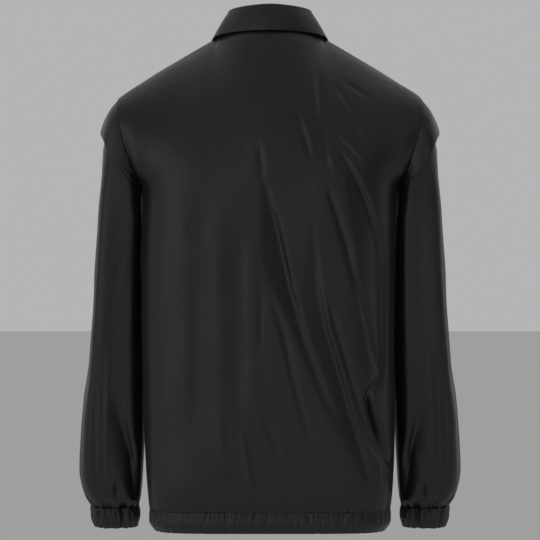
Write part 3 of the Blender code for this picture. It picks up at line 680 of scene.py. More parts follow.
def taffeta():
    """Charcoal taffeta: a tight plain weave with a satin sheen, slightly streaked and uneven in tone."""
    material, tree, shader = new_finish("charcoal_taffeta")
    place = finish_step(tree, "TexCoord").outputs
    stretch = finish_step(tree, "Mapping", {"Vector": place["UV"], "Scale": (*SLUB, 1)})
    slub = speckle(tree, stretch.outputs["Vector"], 1, SLUB_DETAIL)
    mottle = speckle(tree, place["Object"], MOTTLE, MOTTLE_DETAIL)
    yarn_tone = finish_step(tree, "Math", {0: slub, 1: SLUB_PART}, operation="MULTIPLY")
    parts = {0: mottle, 1: MOTTLE_PART, 2: yarn_tone.outputs["Value"]}
    blend = finish_step(tree, "Math", parts, operation="MULTIPLY_ADD")
    tones = {"Factor": blend.outputs["Value"], "A": TAFFETA_DARK, "B": TAFFETA_LIGHT}
    tone = finish_step(tree, "Mix", tones, data_type="RGBA")
    slub_range = {"From Min": SLUB_GLOSS[0], "From Max": SLUB_GLOSS[1]}
    gloss_range = {"To Min": TAFFETA_SMOOTHEST, "To Max": TAFFETA_ROUGHEST}
    gloss = finish_step(tree, "MapRange", {"Value": slub, **slub_range, **gloss_range})
    split = finish_step(tree, "SeparateXYZ", {"Vector": place["UV"]})
    yarns = []
    for axis in ("X", "Y"):
        turning = {0: split.outputs[axis], 1: 2 * math.pi / WEAVE_PITCH}
        turns = finish_step(tree, "Math", turning, operation="MULTIPLY")
        yarn = finish_step(tree, "Math", {0: turns.outputs["Value"]}, operation="SINE")
        yarns.append(yarn.outputs["Value"])
    crossing = finish_step(tree, "Math", {0: yarns[0], 1: yarns[1]}, operation="MULTIPLY")
    parts = {0: crossing.outputs["Value"], 1: WEAVE_PART, 2: slub}
    height = finish_step(tree, "Math", parts, operation="MULTIPLY_ADD")
    relief = {"Strength": WEAVE_STRENGTH, "Distance": WEAVE_DEPTH, "Height": height.outputs["Value"]}
    weave = finish_step(tree, "Bump", relief)
    dimples = speckle(tree, place["Object"], DIMPLES, DIMPLE_DETAIL)
    relief = {"Strength": DIMPLE_STRENGTH, "Distance": DIMPLE_DEPTH, "Height": dimples}
    hand = finish_step(tree, "Bump", {**relief, "Normal": weave.outputs["Normal"]})
    tree.links.new(tone.outputs["Result"], shader.inputs["Base Color"])
    tree.links.new(gloss.outputs["Result"], shader.inputs["Roughness"])
    tree.links.new(hand.outputs["Normal"], shader.inputs["Normal"])
    shader.inputs["Sheen Weight"].default_value = SHEEN
    shader.inputs["Sheen Roughness"].default_value = SHEEN_ROUGHNESS
    return material


charcoal_taffeta = taffeta()


def keep_edges_crisp(mesh):
    """Cut edges of the cloth are not shaded as if they were rounded."""
    edge_of_loop = np.zeros(len(mesh.loops), np.int32)
    mesh.loops.foreach_get("edge_index", edge_of_loop)
    faces_at = np.bincount(edge_of_loop, minlength=len(mesh.edges))
    for number in np.flatnonzero(faces_at == 1):
        mesh.edges[int(number)].use_edge_sharp = True


def woven(name, grid, wall, material, closed=False, side=0, fringe=None):
    """A piece of cloth through the grid's points, with its warp and weft measured out in metres.

    A fringe is a finer grid in place of the lowest rows: its top row stands for the row where they meet.
    """
    ring = np.concatenate([grid, grid[:, :1]], axis=1) if closed else grid
    weft = np.concatenate([[0], np.cumsum(np.linalg.norm(np.diff(ring, axis=1), axis=-1).mean(axis=0))])
    warp = np.concatenate([[0], np.cumsum(np.linalg.norm(np.diff(grid, axis=0), axis=-1).mean(axis=1))])
    points, places, faces = [], [], []

    def add_grid(block, wefts, warps, round_it):
        first = sum(len(part) for part in points)
        rows, columns = block.shape[:2]
        spans = columns if round_it else columns - 1
        row, column = np.meshgrid(np.arange(rows - 1), np.arange(spans), indexing="ij")
        low, right = first + row * columns, (column + 1) % columns
        corners = (low + column, low + right, low + columns + right, low + columns + column)
        faces.extend(np.stack(corners, axis=-1).reshape(-1, 4).tolist())
        points.append(block.reshape(-1, 3))
        uv = np.stack(np.meshgrid(wefts[:columns], warps), axis=-1)
        places.append(uv.reshape(-1, 2))
        return first

    if fringe is None:
        add_grid(grid, weft, warp, closed)
    else:
        meet = len(fringe) - 1
        fine = np.interp(np.arange(fringe.shape[1]), np.arange(len(weft)) * FRINGE_TIMES, weft)
        low_first = add_grid(fringe, fine, warp[: meet + 1], False)
        high_first = add_grid(grid[meet + 1 :], weft, warp[meet + 1 :], False)
        seam = low_first + meet * fringe.shape[1]
        for column in range(grid.shape[1] - 1):
            along = [seam + column * FRINGE_TIMES + k for k in range(FRINGE_TIMES + 1)]
            faces.append(along + [high_first + column + 1, high_first + column])
    mesh = bpy.data.meshes.new(name)
    mesh.from_pydata(np.concatenate(points).tolist(), [], faces)
    loops = np.zeros(len(mesh.loops), np.int32)
    mesh.loops.foreach_get("vertex_index", loops)
    uv_map = np.concatenate(places)[loops]
    if closed:
        wrapped = uv_map.reshape(-1, 4, 2)
        back_to_start = wrapped[:, 1, 0] < wrapped[:, 0, 0]
        wrapped[back_to_start, 1:3, 0] = weft[-1]
    mesh.uv_layers.new(name="warp_and_weft").data.foreach_set("uv", uv_map.astype(np.float32).ravel())
    mesh.polygons.foreach_set("use_smooth", np.ones(len(faces), bool))
    keep_edges_crisp(mesh)
    mesh.materials.append(material)
    piece = bpy.data.objects.new(name, mesh)
    bpy.context.scene.collection.objects.link(piece)
    if wall:
        thickness = piece.modifiers.new("wall", "SOLIDIFY")
        thickness.thickness = wall
        thickness.offset = side
    return piece


def dressed(panel, creases, seed, hem_start, seams=("left", "right"), rows=None, folds=()):
    """A body panel with its folds, its slow swells, its gathered lower edge and its rolled seams."""
    left, right, low, top = (distance[:rows] for distance in from_edges(panel))
    normal, panel = outward(panel)[:rows], panel[:rows]
    across, height = panel[..., 0], panel[..., 2]
    sides = [distance for name, distance in (("left", left), ("right", right)) if name in seams]
    free = soft_step(low, *FREE_FROM_HEM) * soft_step(top, *FREE_FROM_SEAM)
    dip = np.exp(-top / SEAM_ROLL)
    puckers = np.zeros_like(across)
    for distance in sides:
        free = free * soft_step(distance, *FREE_FROM_SEAM)
        dip = np.maximum(dip, np.exp(-distance / SEAM_ROLL))
        above = np.where(height > UNDERARM_HEIGHT, low, 0)
        puckers = puckers + gathered(above, distance, armhole_gathers)
    shift = pressed(across, height, creases) + faceted(across, height, folds)
    shift = shift + swells(across, height, seed)
    at_hem = gathered(hem_start + left[:1], low, hem_gathers)
    shift = shift * free + at_hem + puckers - SEAM_DIP * dip
    return panel + normal * shift[..., None]


back_base = whole_panel(False, TIMES)
back_fringe_base = whole_panel(False, TIMES * FRINGE_TIMES)
front_base = whole_panel(True, TIMES)
front_length = from_edges(front_base[:1, HALF_ACROSS * TIMES :])[0][0, -1] + LAP
back_length = from_edges(back_base[:1])[0][0, -1]
hem_length = 2 * front_length + back_length
hem_gathers = scattered_gathers(HEM_ZONES, hem_length, HEM_SEED)
armhole_gathers = scattered_gathers(ARMHOLE_ZONES, 1.0, ARMHOLE_SEED)
streaks = faint_streaks(BACK_SEED, BACK_STREAKS, *BACK_STREAK_AREA)
back_creases = BACK_CREASES + tuple(streaks)
back = dressed(back_base, back_creases, BACK_SEED, front_length, folds=BACK_FOLDS)
back_fringe = dressed(
    back_fringe_base, back_creases, BACK_SEED, front_length, rows=FRINGE_ROWS + 1, folds=BACK_FOLDS
)
back_piece = woven("back_panel", back, CLOTH_WALL, charcoal_taffeta, fringe=back_fringe)
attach(back_piece, "root")
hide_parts("back")

# Fronts
# Two cuts of the same taffeta. The left front laps over the right down the middle, and both are topstitched
# along the lap. They hang from the shoulder seams in soft upright folds, drawn in by the hem.

LAP_COLUMNS = 7  # fine columns in the lap
LAP_DROP = 0.0024  # the right front lies this far under the left
LAP_SUNK = 0.027  # the right front is fully under to this far past the middle
LAP_EASE = 0.030
LEFT_FRONT_CREASES = (
    Crease(0.108, -0.140, 0.085, -0.660, 0.006, 0.016, 0.022, 1.0, 0.0050, 1.6, 0.25, 0.25),
    Crease(0.066, -0.250, 0.050, -0.690, 0.000, 0.014, 0.010, 1.1, -0.0048, 1.5, 0.25, 0.25),
    Crease(0.152, -0.200, 0.130, -0.640, 0.005, 0.010, 0.016, 1.0, -0.0065, 1.5, 0.25, 0.25),
    Crease(0.135, -0.110, 0.090, -0.300, 0.006, 0.008, 0.012, 1.0, -0.0026, 1.4, 0.30, 0.40),
    Crease(0.160, -0.150, 0.110, -0.260, 0.004, 0.006, 0.010, 1.0, -0.0024, 1.4, 0.30, 0.40),
    Crease(0.045, -0.380, 0.035, -0.660, 0.000, 0.006, 0.008, 1.2, 0.0022, 1.5, 0.30, 0.30),
    Crease(0.095, -0.420, 0.110, -0.690, 0.004, 0.005, 0.009, 1.2, -0.0026, 1.4, 0.30, 0.25),
    Crease(0.125, -0.480, 0.150, -0.680, 0.000, 0.006, 0.006, 1.2, 0.0030, 1.4, 0.30, 0.30),
    Crease(0.030, -0.235, 0.080, -0.300, 0.004, 0.005, 0.007, 1.2, -0.0016, 1.4, 0.20, 0.60),
    Crease(0.028, -0.500, 0.070, -0.560, 0.003, 0.005, 0.007, 1.2, -0.0014, 1.4, 0.20, 0.60),
    Crease(0.176, -0.130, 0.180, -0.290, 0.000, 0.016, 0.006, 1.0, 0.0040, 1.4, 0.20, 0.50),
)
RIGHT_FRONT_CREASES = (
    Crease(-0.094, -0.150, -0.102, -0.600, 0.004, 0.020, 0.016, 1.0, 0.0048, 1.6, 0.25, 0.25),
    Crease(-0.062, -0.200, -0.072, -0.660, 0.006, 0.010, 0.014, 1.0, -0.0044, 1.5, 0.25, 0.25),
    Crease(-0.148, -0.210, -0.122, -0.690, -0.006, 0.014, 0.010, 1.1, -0.0065, 1.5, 0.25, 0.25),
    Crease(-0.128, -0.105, -0.085, -0.270, -0.006, 0.012, 0.008, 1.0, -0.0026, 1.4, 0.30, 0.40),
    Crease(-0.158, -0.160, -0.120, -0.250, -0.004, 0.010, 0.006, 1.0, -0.0022, 1.4, 0.30, 0.40),
    Crease(-0.050, -0.440, -0.044, -0.680, 0.000, 0.008, 0.006, 1.2, 0.0022, 1.5, 0.30, 0.30),
    Crease(-0.110, -0.400, -0.092, -0.690, 0.000, 0.009, 0.005, 1.2, -0.0028, 1.4, 0.30, 0.25),
    Crease(-0.136, -0.520, -0.160, -0.680, 0.000, 0.006, 0.006, 1.2, 0.0030, 1.4, 0.30, 0.30),
    Crease(-0.030, -0.365, -0.085, -0.420, -0.004, 0.007, 0.005, 1.2, -0.0016, 1.4, 0.20, 0.60),
    Crease(-0.176, -0.130, -0.180, -0.290, 0.000, 0.006, 0.016, 1.0, 0.0040, 1.4, 0.20, 0.50),
)
LEFT_FRONT_SEED = 5
RIGHT_FRONT_SEED = 6
FRONT_STREAKS = 40
LEFT_STREAK_AREA = ((0.03, 0.17), (-0.64, -0.12))
RIGHT_STREAK_AREA = ((-0.17, -0.03), (-0.64, -0.12))


def parted(base, times):
    """The left and the right front, each carried past the middle by the lap."""
    middle = HALF_ACROSS * times
    lap_columns = LAP_COLUMNS * times // TIMES
    steps_past = np.arange(1, lap_columns + 1)[None, :, None] / lap_columns * LAP
    to_right = base[:, middle - times] - base[:, middle]
    to_left = base[:, middle + times] - base[:, middle]
    to_right /= np.linalg.norm(to_right, axis=-1, keepdims=True)
    to_left /= np.linalg.norm(to_left, axis=-1, keepdims=True)
    left_lap = base[:, middle, None] + to_right[:, None] * steps_past
    right_lap = base[:, middle, None] + to_left[:, None] * steps_past
    left = np.concatenate([left_lap[:, ::-1], base[:, middle:]], axis=1)
    right = np.concatenate([base[:, : middle + 1], right_lap], axis=1)
    return left, right


def sunk_under(grid):
    """The right front, let in under the left one at the lap."""
    sunk = LAP_DROP * (1 - soft_step(-grid[..., 0], LAP_SUNK, LAP_SUNK + LAP_EASE))
    return grid - outward(grid) * sunk[..., None]


left_streaks = tuple(faint_streaks(LEFT_FRONT_SEED, FRONT_STREAKS, *LEFT_STREAK_AREA))
right_streaks = tuple(faint_streaks(RIGHT_FRONT_SEED, FRONT_STREAKS, *RIGHT_STREAK_AREA))
left_creases = LEFT_FRONT_CREASES + left_streaks
right_creases = RIGHT_FRONT_CREASES + right_streaks
left_base, right_base = parted(front_base, TIMES)
left_fringe, right_fringe = parted(whole_panel(True, TIMES * FRINGE_TIMES), TIMES * FRINGE_TIMES)
right_start = front_length + back_length
lowest = FRINGE_ROWS + 1
left_front = dressed(left_base, left_creases, LEFT_FRONT_SEED, 0, ("right",))
left_fringe = dressed(left_fringe, left_creases, LEFT_FRONT_SEED, 0, ("right",), lowest)
right_front = dressed(right_base, right_creases, RIGHT_FRONT_SEED, right_start, ("left",))
right_fringe = dressed(right_fringe, right_creases, RIGHT_FRONT_SEED, right_start, ("left",), lowest)
right_front, right_fringe = sunk_under(right_front), sunk_under(right_fringe)
left_piece = woven("left_front", left_front, CLOTH_WALL, charcoal_taffeta, fringe=left_fringe)
right_piece = woven("right_front", right_front, CLOTH_WALL, charcoal_taffeta, fringe=right_fringe)
for piece, node in ((left_piece, "front_left"), (right_piece, "front_right")):
    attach(piece, "root")
    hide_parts(node)

# Topstitching of the lap
# A row of charcoal thread on each side of the lap, sewn through the left front from the hem to the neck. The
# thread is a little duller than the cloth, and each stitch rises out of the cloth and dips back in.

STITCH_PITCH = 0.0032
STITCH_SHARE = 0.82  # of the pitch, the thread that shows
THREAD_RADIUS = 0.00028
STITCH_POINTS = 5
STITCH_SIDES = 6
THREAD_ARCH = 1.3  # radii by which a stitch rises in its middle
THREAD_SUNK = 0.9  # radii by which its ends lie in the cloth
THREAD_COLOUR = (0.016, 0.016, 0.017, 1.0)
THREAD_FUZZ = 900  # so much a metre
THREAD_SMOOTHEST = 0.45
THREAD_ROUGHEST = 0.70
GRAIN_DETAIL = 2
LAP_STITCH_COLUMNS = (1, 13)  # fine columns in from the left front's free edge


def grained(name, colour, grains, smoothest, roughest):
    """One plain colour whose gloss varies with a fine grain."""
    material, tree, shader = new_finish(name)
    place = finish_step(tree, "TexCoord").outputs["Object"]
    grain = speckle(tree, place, grains, GRAIN_DETAIL)
    gloss = finish_step(tree, "MapRange", {"Value": grain, "To Min": smoothest, "To Max": roughest})
    tree.links.new(gloss.outputs["Result"], shader.inputs["Roughness"])
    shader.inputs["Base Color"].default_value = colour
    return material


charcoal_thread = grained("charcoal_thread", THREAD_COLOUR, THREAD_FUZZ, THREAD_SMOOTHEST, THREAD_ROUGHEST)


def sewn(name, lines):
    """Rows of stitches along lines on the cloth, given as points and normals, joined into one piece."""
    points, faces, used = [], [], 0
    turns = np.arange(STITCH_SIDES) * 2 * math.pi / STITCH_SIDES
    share = np.linspace(0, 1, STITCH_POINTS)
    arch = np.sin(math.pi * share)
    for line, normals in lines:
        run = np.concatenate([[0], np.cumsum(np.linalg.norm(np.diff(line, axis=0), axis=1))])
        count = int(run[-1] / STITCH_PITCH)
        at = (np.arange(count)[:, None] + STITCH_SHARE * share[None]) * run[-1] / count
        middle = np.stack([np.interp(at, run, line[:, k]) for k in range(3)], axis=-1)
        up = np.stack([np.interp(at, run, normals[:, k]) for k in range(3)], axis=-1)
        along = np.gradient(middle, axis=1)
        side = np.cross(along, up)
        side /= np.linalg.norm(side, axis=-1, keepdims=True)
        rise = THREAD_RADIUS * (THREAD_ARCH * arch[None, :, None] - THREAD_SUNK)
        middle = middle + up * (CLOTH_WALL / 2 + rise)
        circle = np.cos(turns)[:, None] * side[:, :, None] + np.sin(turns)[:, None] * up[:, :, None]
        rings = middle[:, :, None] + circle * THREAD_RADIUS
        points.append(rings.reshape(-1, 3))
        for stitch in range(count):
            first = used + stitch * STITCH_POINTS * STITCH_SIDES
            for step in range(STITCH_POINTS - 1):
                low = first + step * STITCH_SIDES
                high = low + STITCH_SIDES
                for k in range(STITCH_SIDES):
                    right = (k + 1) % STITCH_SIDES
                    faces.append((low + k, low + right, high + right, high + k))
            faces.append(tuple(first + k for k in reversed(range(STITCH_SIDES))))
            last = first + (STITCH_POINTS - 1) * STITCH_SIDES
            faces.append(tuple(last + k for k in range(STITCH_SIDES)))
        used += count * STITCH_POINTS * STITCH_SIDES
    mesh = bpy.data.meshes.new(name)
    mesh.from_pydata(np.concatenate(points).tolist(), [], faces)
    mesh.polygons.foreach_set("use_smooth", np.ones(len(faces), bool))
    mesh.materials.append(charcoal_thread)
    piece = bpy.data.objects.new(name, mesh)
    bpy.context.scene.collection.objects.link(piece)
    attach(piece, "root")
    return piece


left_normals = outward(left_front)
sewn("lap_stitching", [(left_front[:, k], left_normals[:, k]) for k in LAP_STITCH_COLUMNS])

# Sleeves
# Each sleeve is one cut of taffeta sewn into a tube along the underarm, eased into the armhole and drawn up
# by the cuff. It falls over itself below the shoulder in a deep crease and blouses above the cuff.

SLEEVE = (
    ARMHOLE_RING,
    Ring(0.2390, -0.1095, 0.1898, -0.2205, -0.002, 0.107, 3.20, 0.007, 1),
    Ring(0.2478, -0.1390, 0.1908, -0.2225, -0.002, 0.107, 3.20, 0.008, 3),
    Ring(0.2440, -0.1500, 0.1912, -0.2260, -0.002, 0.098, 3.30, 0.002, 1),
    Ring(0.2468, -0.1630, 0.1913, -0.2310, -0.001, 0.094, 3.60, 0.002, 1),
    Ring(0.2498, -0.2050, 0.1914, -0.2460, -0.001, 0.087, 4.55, 0.000, 2),
    Ring(0.2528, -0.2550, 0.1899, -0.2750, 0.000, 0.080, 5.95, 0.000, 2),
    Ring(0.2580, -0.3300, 0.1892, -0.3350, 0.000, 0.073, 6.00, 0.000, 2),
    Ring(0.2640, -0.4150, 0.1885, -0.4150, -0.001, 0.069, 6.00, 0.000, 2),
    Ring(0.2710, -0.5000, 0.1887, -0.5000, -0.004, 0.065, 5.95, 0.000, 2),
    Ring(0.2785, -0.5850, 0.1897, -0.5850, -0.009, 0.062, 5.60, 0.000, 2),
    Ring(0.2815, -0.6450, 0.1920, -0.6450, -0.014, 0.058, 4.95, 0.000, 2),
    Ring(0.2785, -0.6800, 0.1942, -0.6810, -0.018, 0.051, 3.30, 0.000, 2),
    Ring(0.2710, -0.6980, 0.1965, -0.6980, -0.021, 0.043, 2.40, 0.000, 0),
)
SLEEVE_AROUND = 144
SLEEVE_TIMES = 8  # fine spans in each step of a ring
SLEEVE_GIRTH = 0.420  # the girth that the sleeve's folds are placed on, from the underarm line, front first
ARMHOLE_TRIM = 0.0003  # the sleeve ends this far short of the armhole seam
SLEEVE_CREASES = (
    Crease(0.300, -0.230, 0.296, -0.520, 0.004, 0.012, 0.016, 1.0, 0.0036, 1.7, 0.30, 0.30),
    Crease(0.244, -0.200, 0.240, -0.400, 0.003, 0.006, 0.006, 1.0, 0.0022, 1.5, 0.30, 0.30),
    Crease(0.235, -0.470, 0.245, -0.690, 0.000, 0.007, 0.008, 1.0, 0.0036, 1.5, 0.30, 0.25),
    Crease(0.385, -0.340, 0.380, -0.520, 0.000, 0.008, 0.010, 1.0, -0.0024, 1.5, 0.30, 0.30),
    Crease(0.150, -0.230, 0.135, -0.430, 0.006, 0.014, 0.012, 1.0, -0.0045, 1.5, 0.25, 0.30),
    Crease(0.125, -0.480, 0.090, -0.690, -0.006, 0.010, 0.012, 1.2, -0.0065, 1.4, 0.25, 0.25),
    Crease(0.180, -0.380, 0.165, -0.670, 0.000, 0.012, 0.010, 1.0, 0.0042, 1.6, 0.25, 0.30),
    Crease(0.095, -0.270, 0.110, -0.420, 0.005, 0.008, 0.008, 1.0, -0.0030, 1.4, 0.30, 0.35),
    Crease(0.060, -0.330, 0.085, -0.450, 0.004, 0.007, 0.007, 1.0, -0.0030, 1.4, 0.30, 0.35),
    Crease(0.200, -0.230, 0.205, -0.360, 0.000, 0.008, 0.008, 1.0, -0.0020, 1.5, 0.30, 0.35),
    Crease(0.150, -0.560, 0.150, -0.690, 0.000, 0.006, 0.006, 1.0, 0.0026, 1.4, 0.35, 0.25),
    Crease(0.045, -0.520, 0.060, -0.690, 0.000, 0.008, 0.008, 1.2, -0.0036, 1.4, 0.30, 0.25),
)
# The sleeve's main folds, across its girth
SLEEVE_FOLDS = (
    (  # deep fold that falls inwards over the cuff
        FoldPoint(0.3185, -0.526, 0.008, 0.008, -0.0005),
        FoldPoint(0.3235, -0.541, 0.012, 0.010, -0.0040),
        FoldPoint(0.3310, -0.566, 0.016, 0.011, -0.0075),
        FoldPoint(0.3400, -0.595, 0.021, 0.010, -0.0105),
        FoldPoint(0.3530, -0.624, 0.028, 0.009, -0.0130),
        FoldPoint(0.3650, -0.651, 0.032, 0.012, -0.0120),
        FoldPoint(0.3675, -0.673, 0.024, 0.012, -0.0070),
        FoldPoint(0.3680, -0.688, 0.015, 0.012, -0.0010),
    ),
    (  # dent above the cuff
        FoldPoint(0.3275, -0.655, 0.004, 0.004, -0.0005),
        FoldPoint(0.3270, -0.668, 0.006, 0.006, -0.0050),
        FoldPoint(0.3270, -0.684, 0.006, 0.006, -0.0030),
    ),
    (  # facet down the outer back corner
        FoldPoint(0.2700, -0.176, 0.020, 0.006, -0.0010),
        FoldPoint(0.2690, -0.210, 0.020, 0.012, -0.0055),
        FoldPoint(0.2680, -0.260, 0.020, 0.010, -0.0050),
        FoldPoint(0.2690, -0.320, 0.020, 0.013, -0.0065),
        FoldPoint(0.2690, -0.400, 0.020, 0.012, -0.0060),
        FoldPoint(0.2680, -0.450, 0.018, 0.010, -0.0050),
        FoldPoint(0.2670, -0.500, 0.016, 0.008, -0.0030),
        FoldPoint(0.2660, -0.530, 0.016, 0.006, -0.0005),
    ),
    (  # facet down the inner back corner
        FoldPoint(0.3520, -0.215, 0.004, 0.012, -0.0003),
        FoldPoint(0.3560, -0.235, 0.008, 0.015, -0.0016),
        FoldPoint(0.3580, -0.265, 0.012, 0.018, -0.0030),
        FoldPoint(0.3580, -0.310, 0.014, 0.020, -0.0040),
        FoldPoint(0.3590, -0.400, 0.016, 0.020, -0.0044),
        FoldPoint(0.3590, -0.480, 0.015, 0.020, -0.0040),
        FoldPoint(0.3610, -0.550, 0.012, 0.018, -0.0030),
        FoldPoint(0.3620, -0.600, 0.010, 0.016, -0.0008),
    ),
    (  # long light ridge above the cuff
        FoldPoint(0.3055, -0.455, 0.003, 0.004, 0.0003),
        FoldPoint(0.3060, -0.500, 0.004, 0.005, 0.0016),
        FoldPoint(0.3065, -0.580, 0.004, 0.005, 0.0020),
        FoldPoint(0.3090, -0.630, 0.004, 0.005, 0.0016),
        FoldPoint(0.3120, -0.660, 0.003, 0.004, 0.0003),
    ),
    (  # crease beside it
        FoldPoint(0.2995, -0.500, 0.003, 0.003, -0.0003),
        FoldPoint(0.3005, -0.550, 0.003, 0.003, -0.0016),
        FoldPoint(0.3030, -0.620, 0.003, 0.003, -0.0016),
        FoldPoint(0.3060, -0.655, 0.003, 0.003, -0.0003),
    ),
    (  # crease nearer the outer side
        FoldPoint(0.2875, -0.510, 0.004, 0.004, -0.0003),
        FoldPoint(0.2885, -0.560, 0.004, 0.004, -0.0024),
        FoldPoint(0.2895, -0.620, 0.004, 0.004, -0.0024),
        FoldPoint(0.2930, -0.660, 0.003, 0.003, -0.0003),
    ),
    (  # ridge down the sleeve head
        FoldPoint(0.2120, -0.092, 0.006, 0.010, 0.0004),
        FoldPoint(0.2350, -0.120, 0.007, 0.012, 0.0024),
        FoldPoint(0.2620, -0.150, 0.007, 0.012, 0.0026),
        FoldPoint(0.2700, -0.160, 0.006, 0.010, 0.0004),
    ),
)
TUCK_DEPTH = 0.0014  # the seam allowance lies this far under the cloth it is sewn to
TUCK_LENGTH = 0.0050
TUCKED_ROWS = 2
SLEEVE_SEED = 8
SLEEVE_STREAKS = 50
SLEEVE_STREAK_AREA = ((0, SLEEVE_GIRTH), (-0.66, -0.22))
CUFF_LENGTH = 0.420  # the cuff's gathers are placed on the same girth
CUFF_ZONES = (
    GatherZone(0.0, 1.0, 22, 0.0048, 0.022, 0.25),
    GatherZone(0.0, 1.0, 31, 0.0022, 0.009, 0.40),
)
HEAD_CREASE = 2.62  # at the back, the sleeve head hangs over the sleeve just below this ring
HEAD_CREASE_RISE = 0.45  # rings by which that fold climbs on its way to the front, where it dies out
HEAD_CREASE_SPAN = 0.20
HEAD_CREASE_DEPTH = 0.0068
HEAD_CREASE_LEAST = 0.05  # share of that depth which is left next to the body
HEAD_FILL = (0, 0, 0, 0.0065, 0.0076, 0.0055, 0)  # at each ring: at the front the head runs smoothly on
HEAD_TO_BACK = (-0.75, 0.55)  # how far to the back the fold starts and is whole, from -1 in front to 1 behind
HEAD_OFF_BODY = (-0.8, 0.2)  # the same, from -1 at the underarm line to 1 on the outside
CUFF_SEED = 14
HEAD_ZONES = (GatherZone(0.15, 0.85, 34, 0.0012, 0.010, 0.4),)

cuff_gathers = scattered_gathers(CUFF_ZONES, CUFF_LENGTH, CUFF_SEED)
head_gathers = scattered_gathers(HEAD_ZONES, SLEEVE_GIRTH, ARMHOLE_SEED)
sleeve_creases = SLEEVE_CREASES + tuple(faint_streaks(SLEEVE_SEED, SLEEVE_STREAKS, *SLEEVE_STREAK_AREA))


def tucked(grid, closed):
    """The grid carried on past its top row, in under the cloth that it is sewn to."""
    under = outward(grid, closed)[-1] * TUCK_DEPTH
    on = grid[-1] - grid[-2]
    on = on / np.linalg.norm(on, axis=-1, keepdims=True) * TUCK_LENGTH
    return np.concatenate([grid, [grid[-1] - under / 2], [grid[-1] - under + on]])


def ring_rows(rings, stops, count, lean=0):
    """Sleeve or cuff rings at these stops of a table, each with this many evenly spaced points."""
    table = rows_at(rings, np.arange(len(rings)), stops)
    table["inner_x"] = table["inner_x"] + lean * sway_at(table["inner_z"])
    turns = np.linspace(0, 2 * math.pi, 4 * FINE + 1)
    lines = [ring_line({k: v[i] for k, v in table.items()}, turns) for i in range(len(stops))]
    return np.array([evenly(line, np.arange(count) / count) for line in lines])


def sleeve_grid(lean):
    """A left sleeve that follows the body's sway where they touch: lean 1 for that, -1 for its mirror."""
    stops = [
        number + step / (ring.steps * SLEEVE_TIMES)
        for number, ring in enumerate(SLEEVE[:-1])
        for step in range(ring.steps * SLEEVE_TIMES)
    ]
    stops = np.array(stops + [len(SLEEVE) - 1])[::-1]
    base = ring_rows(SLEEVE, stops, SLEEVE_AROUND, lean)
    first_step = base[-2] - base[-1]
    base[-1] += first_step * ARMHOLE_TRIM / np.linalg.norm(first_step, axis=-1, keepdims=True)
    shares = np.arange(SLEEVE_AROUND) / SLEEVE_AROUND
    girth = np.broadcast_to(shares * SLEEVE_GIRTH, base.shape[:2])
    _, _, above_cuff, below_armhole = from_edges(base)
    height = base[..., 2]
    shift = pressed(girth, height, sleeve_creases, SLEEVE_GIRTH) + faceted(girth, height, SLEEVE_FOLDS)
    shift *= soft_step(above_cuff, *FREE_FROM_HEM) * soft_step(below_armhole, *FREE_FROM_SEAM)
    shift += gathered(girth, above_cuff, cuff_gathers, SLEEVE_GIRTH)
    shift += gathered(girth, below_armhole, head_gathers, SLEEVE_GIRTH)
    turn = 2 * math.pi * shares
    at_back = soft_step(-np.sin(turn), *HEAD_TO_BACK)
    off_body = soft_step(-np.cos(turn), *HEAD_OFF_BODY)
    past_crease = stops[:, None] - HEAD_CREASE + HEAD_CREASE_RISE * (1 - at_back)
    under_head = np.exp(-((past_crease / HEAD_CREASE_SPAN) ** 2))
    whole = HEAD_CREASE_LEAST + (1 - HEAD_CREASE_LEAST) * off_body
    shift -= HEAD_CREASE_DEPTH * under_head * at_back * whole
    filled = np.interp(stops, np.arange(len(HEAD_FILL)), HEAD_FILL)[:, None]
    shift += filled * (1 - at_back) * off_body
    shift -= SEAM_DIP * np.exp(-below_armhole / SEAM_ROLL)
    return tucked(base + outward(base, closed=True) * shift[..., None], closed=True)


def mirrored(grid):
    """The same piece on the wearer's other side."""
    return grid[:, ::-1] * np.array([-1, 1, 1])


for name, node, grid in (
    ("left_sleeve", "sleeve_left", sleeve_grid(lean=1)),
    ("right_sleeve", "sleeve_right", mirrored(sleeve_grid(lean=-1))),
):
    piece = woven(name, grid, CLOTH_WALL, charcoal_taffeta, closed=True, side=-1)
    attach(piece, "root")
    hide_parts(node)

# Cuffs
# Each cuff is a strip of taffeta folded over an elastic and sewn to the sleeve's end. The elastic draws it up
# all round, so that it and the end of the sleeve gather together.

CUFF = (
    Ring(0.2710, -0.6983, 0.1965, -0.6983, -0.021, 0.043, 2.40, 0.000, 1),
    Ring(0.2700, -0.7130, 0.1968, -0.7130, -0.022, 0.042, 2.40, 0.000, 1),
    Ring(0.2660, -0.7280, 0.1990, -0.7280, -0.022, 0.039, 2.40, 0.000, 0),
)
CUFF_AROUND = 288
CUFF_ROWS = 12
CUFF_HEIGHT = 0.030
CUFF_THICKNESS = 0.0032
CASING_BELLY = 0.0014  # the elastic fills the casing out between its two edges
CASING_TURN_ROWS = 7  # rows round the fold at a casing's lower edge
CASING_WAVES = 9  # sets of small puckers
CASING_PUCKERS = (24, 70)  # fewest and most in a set, round a cuff
CASING_SLANT = 0.25
CUFF_PUCKER_SEED = 21
CUFF_PUCKER = 0.0008
CUFF_GATHERED = (0.55, 1.00)  # shares of the gathers' depth that are left at the fold and at the seam


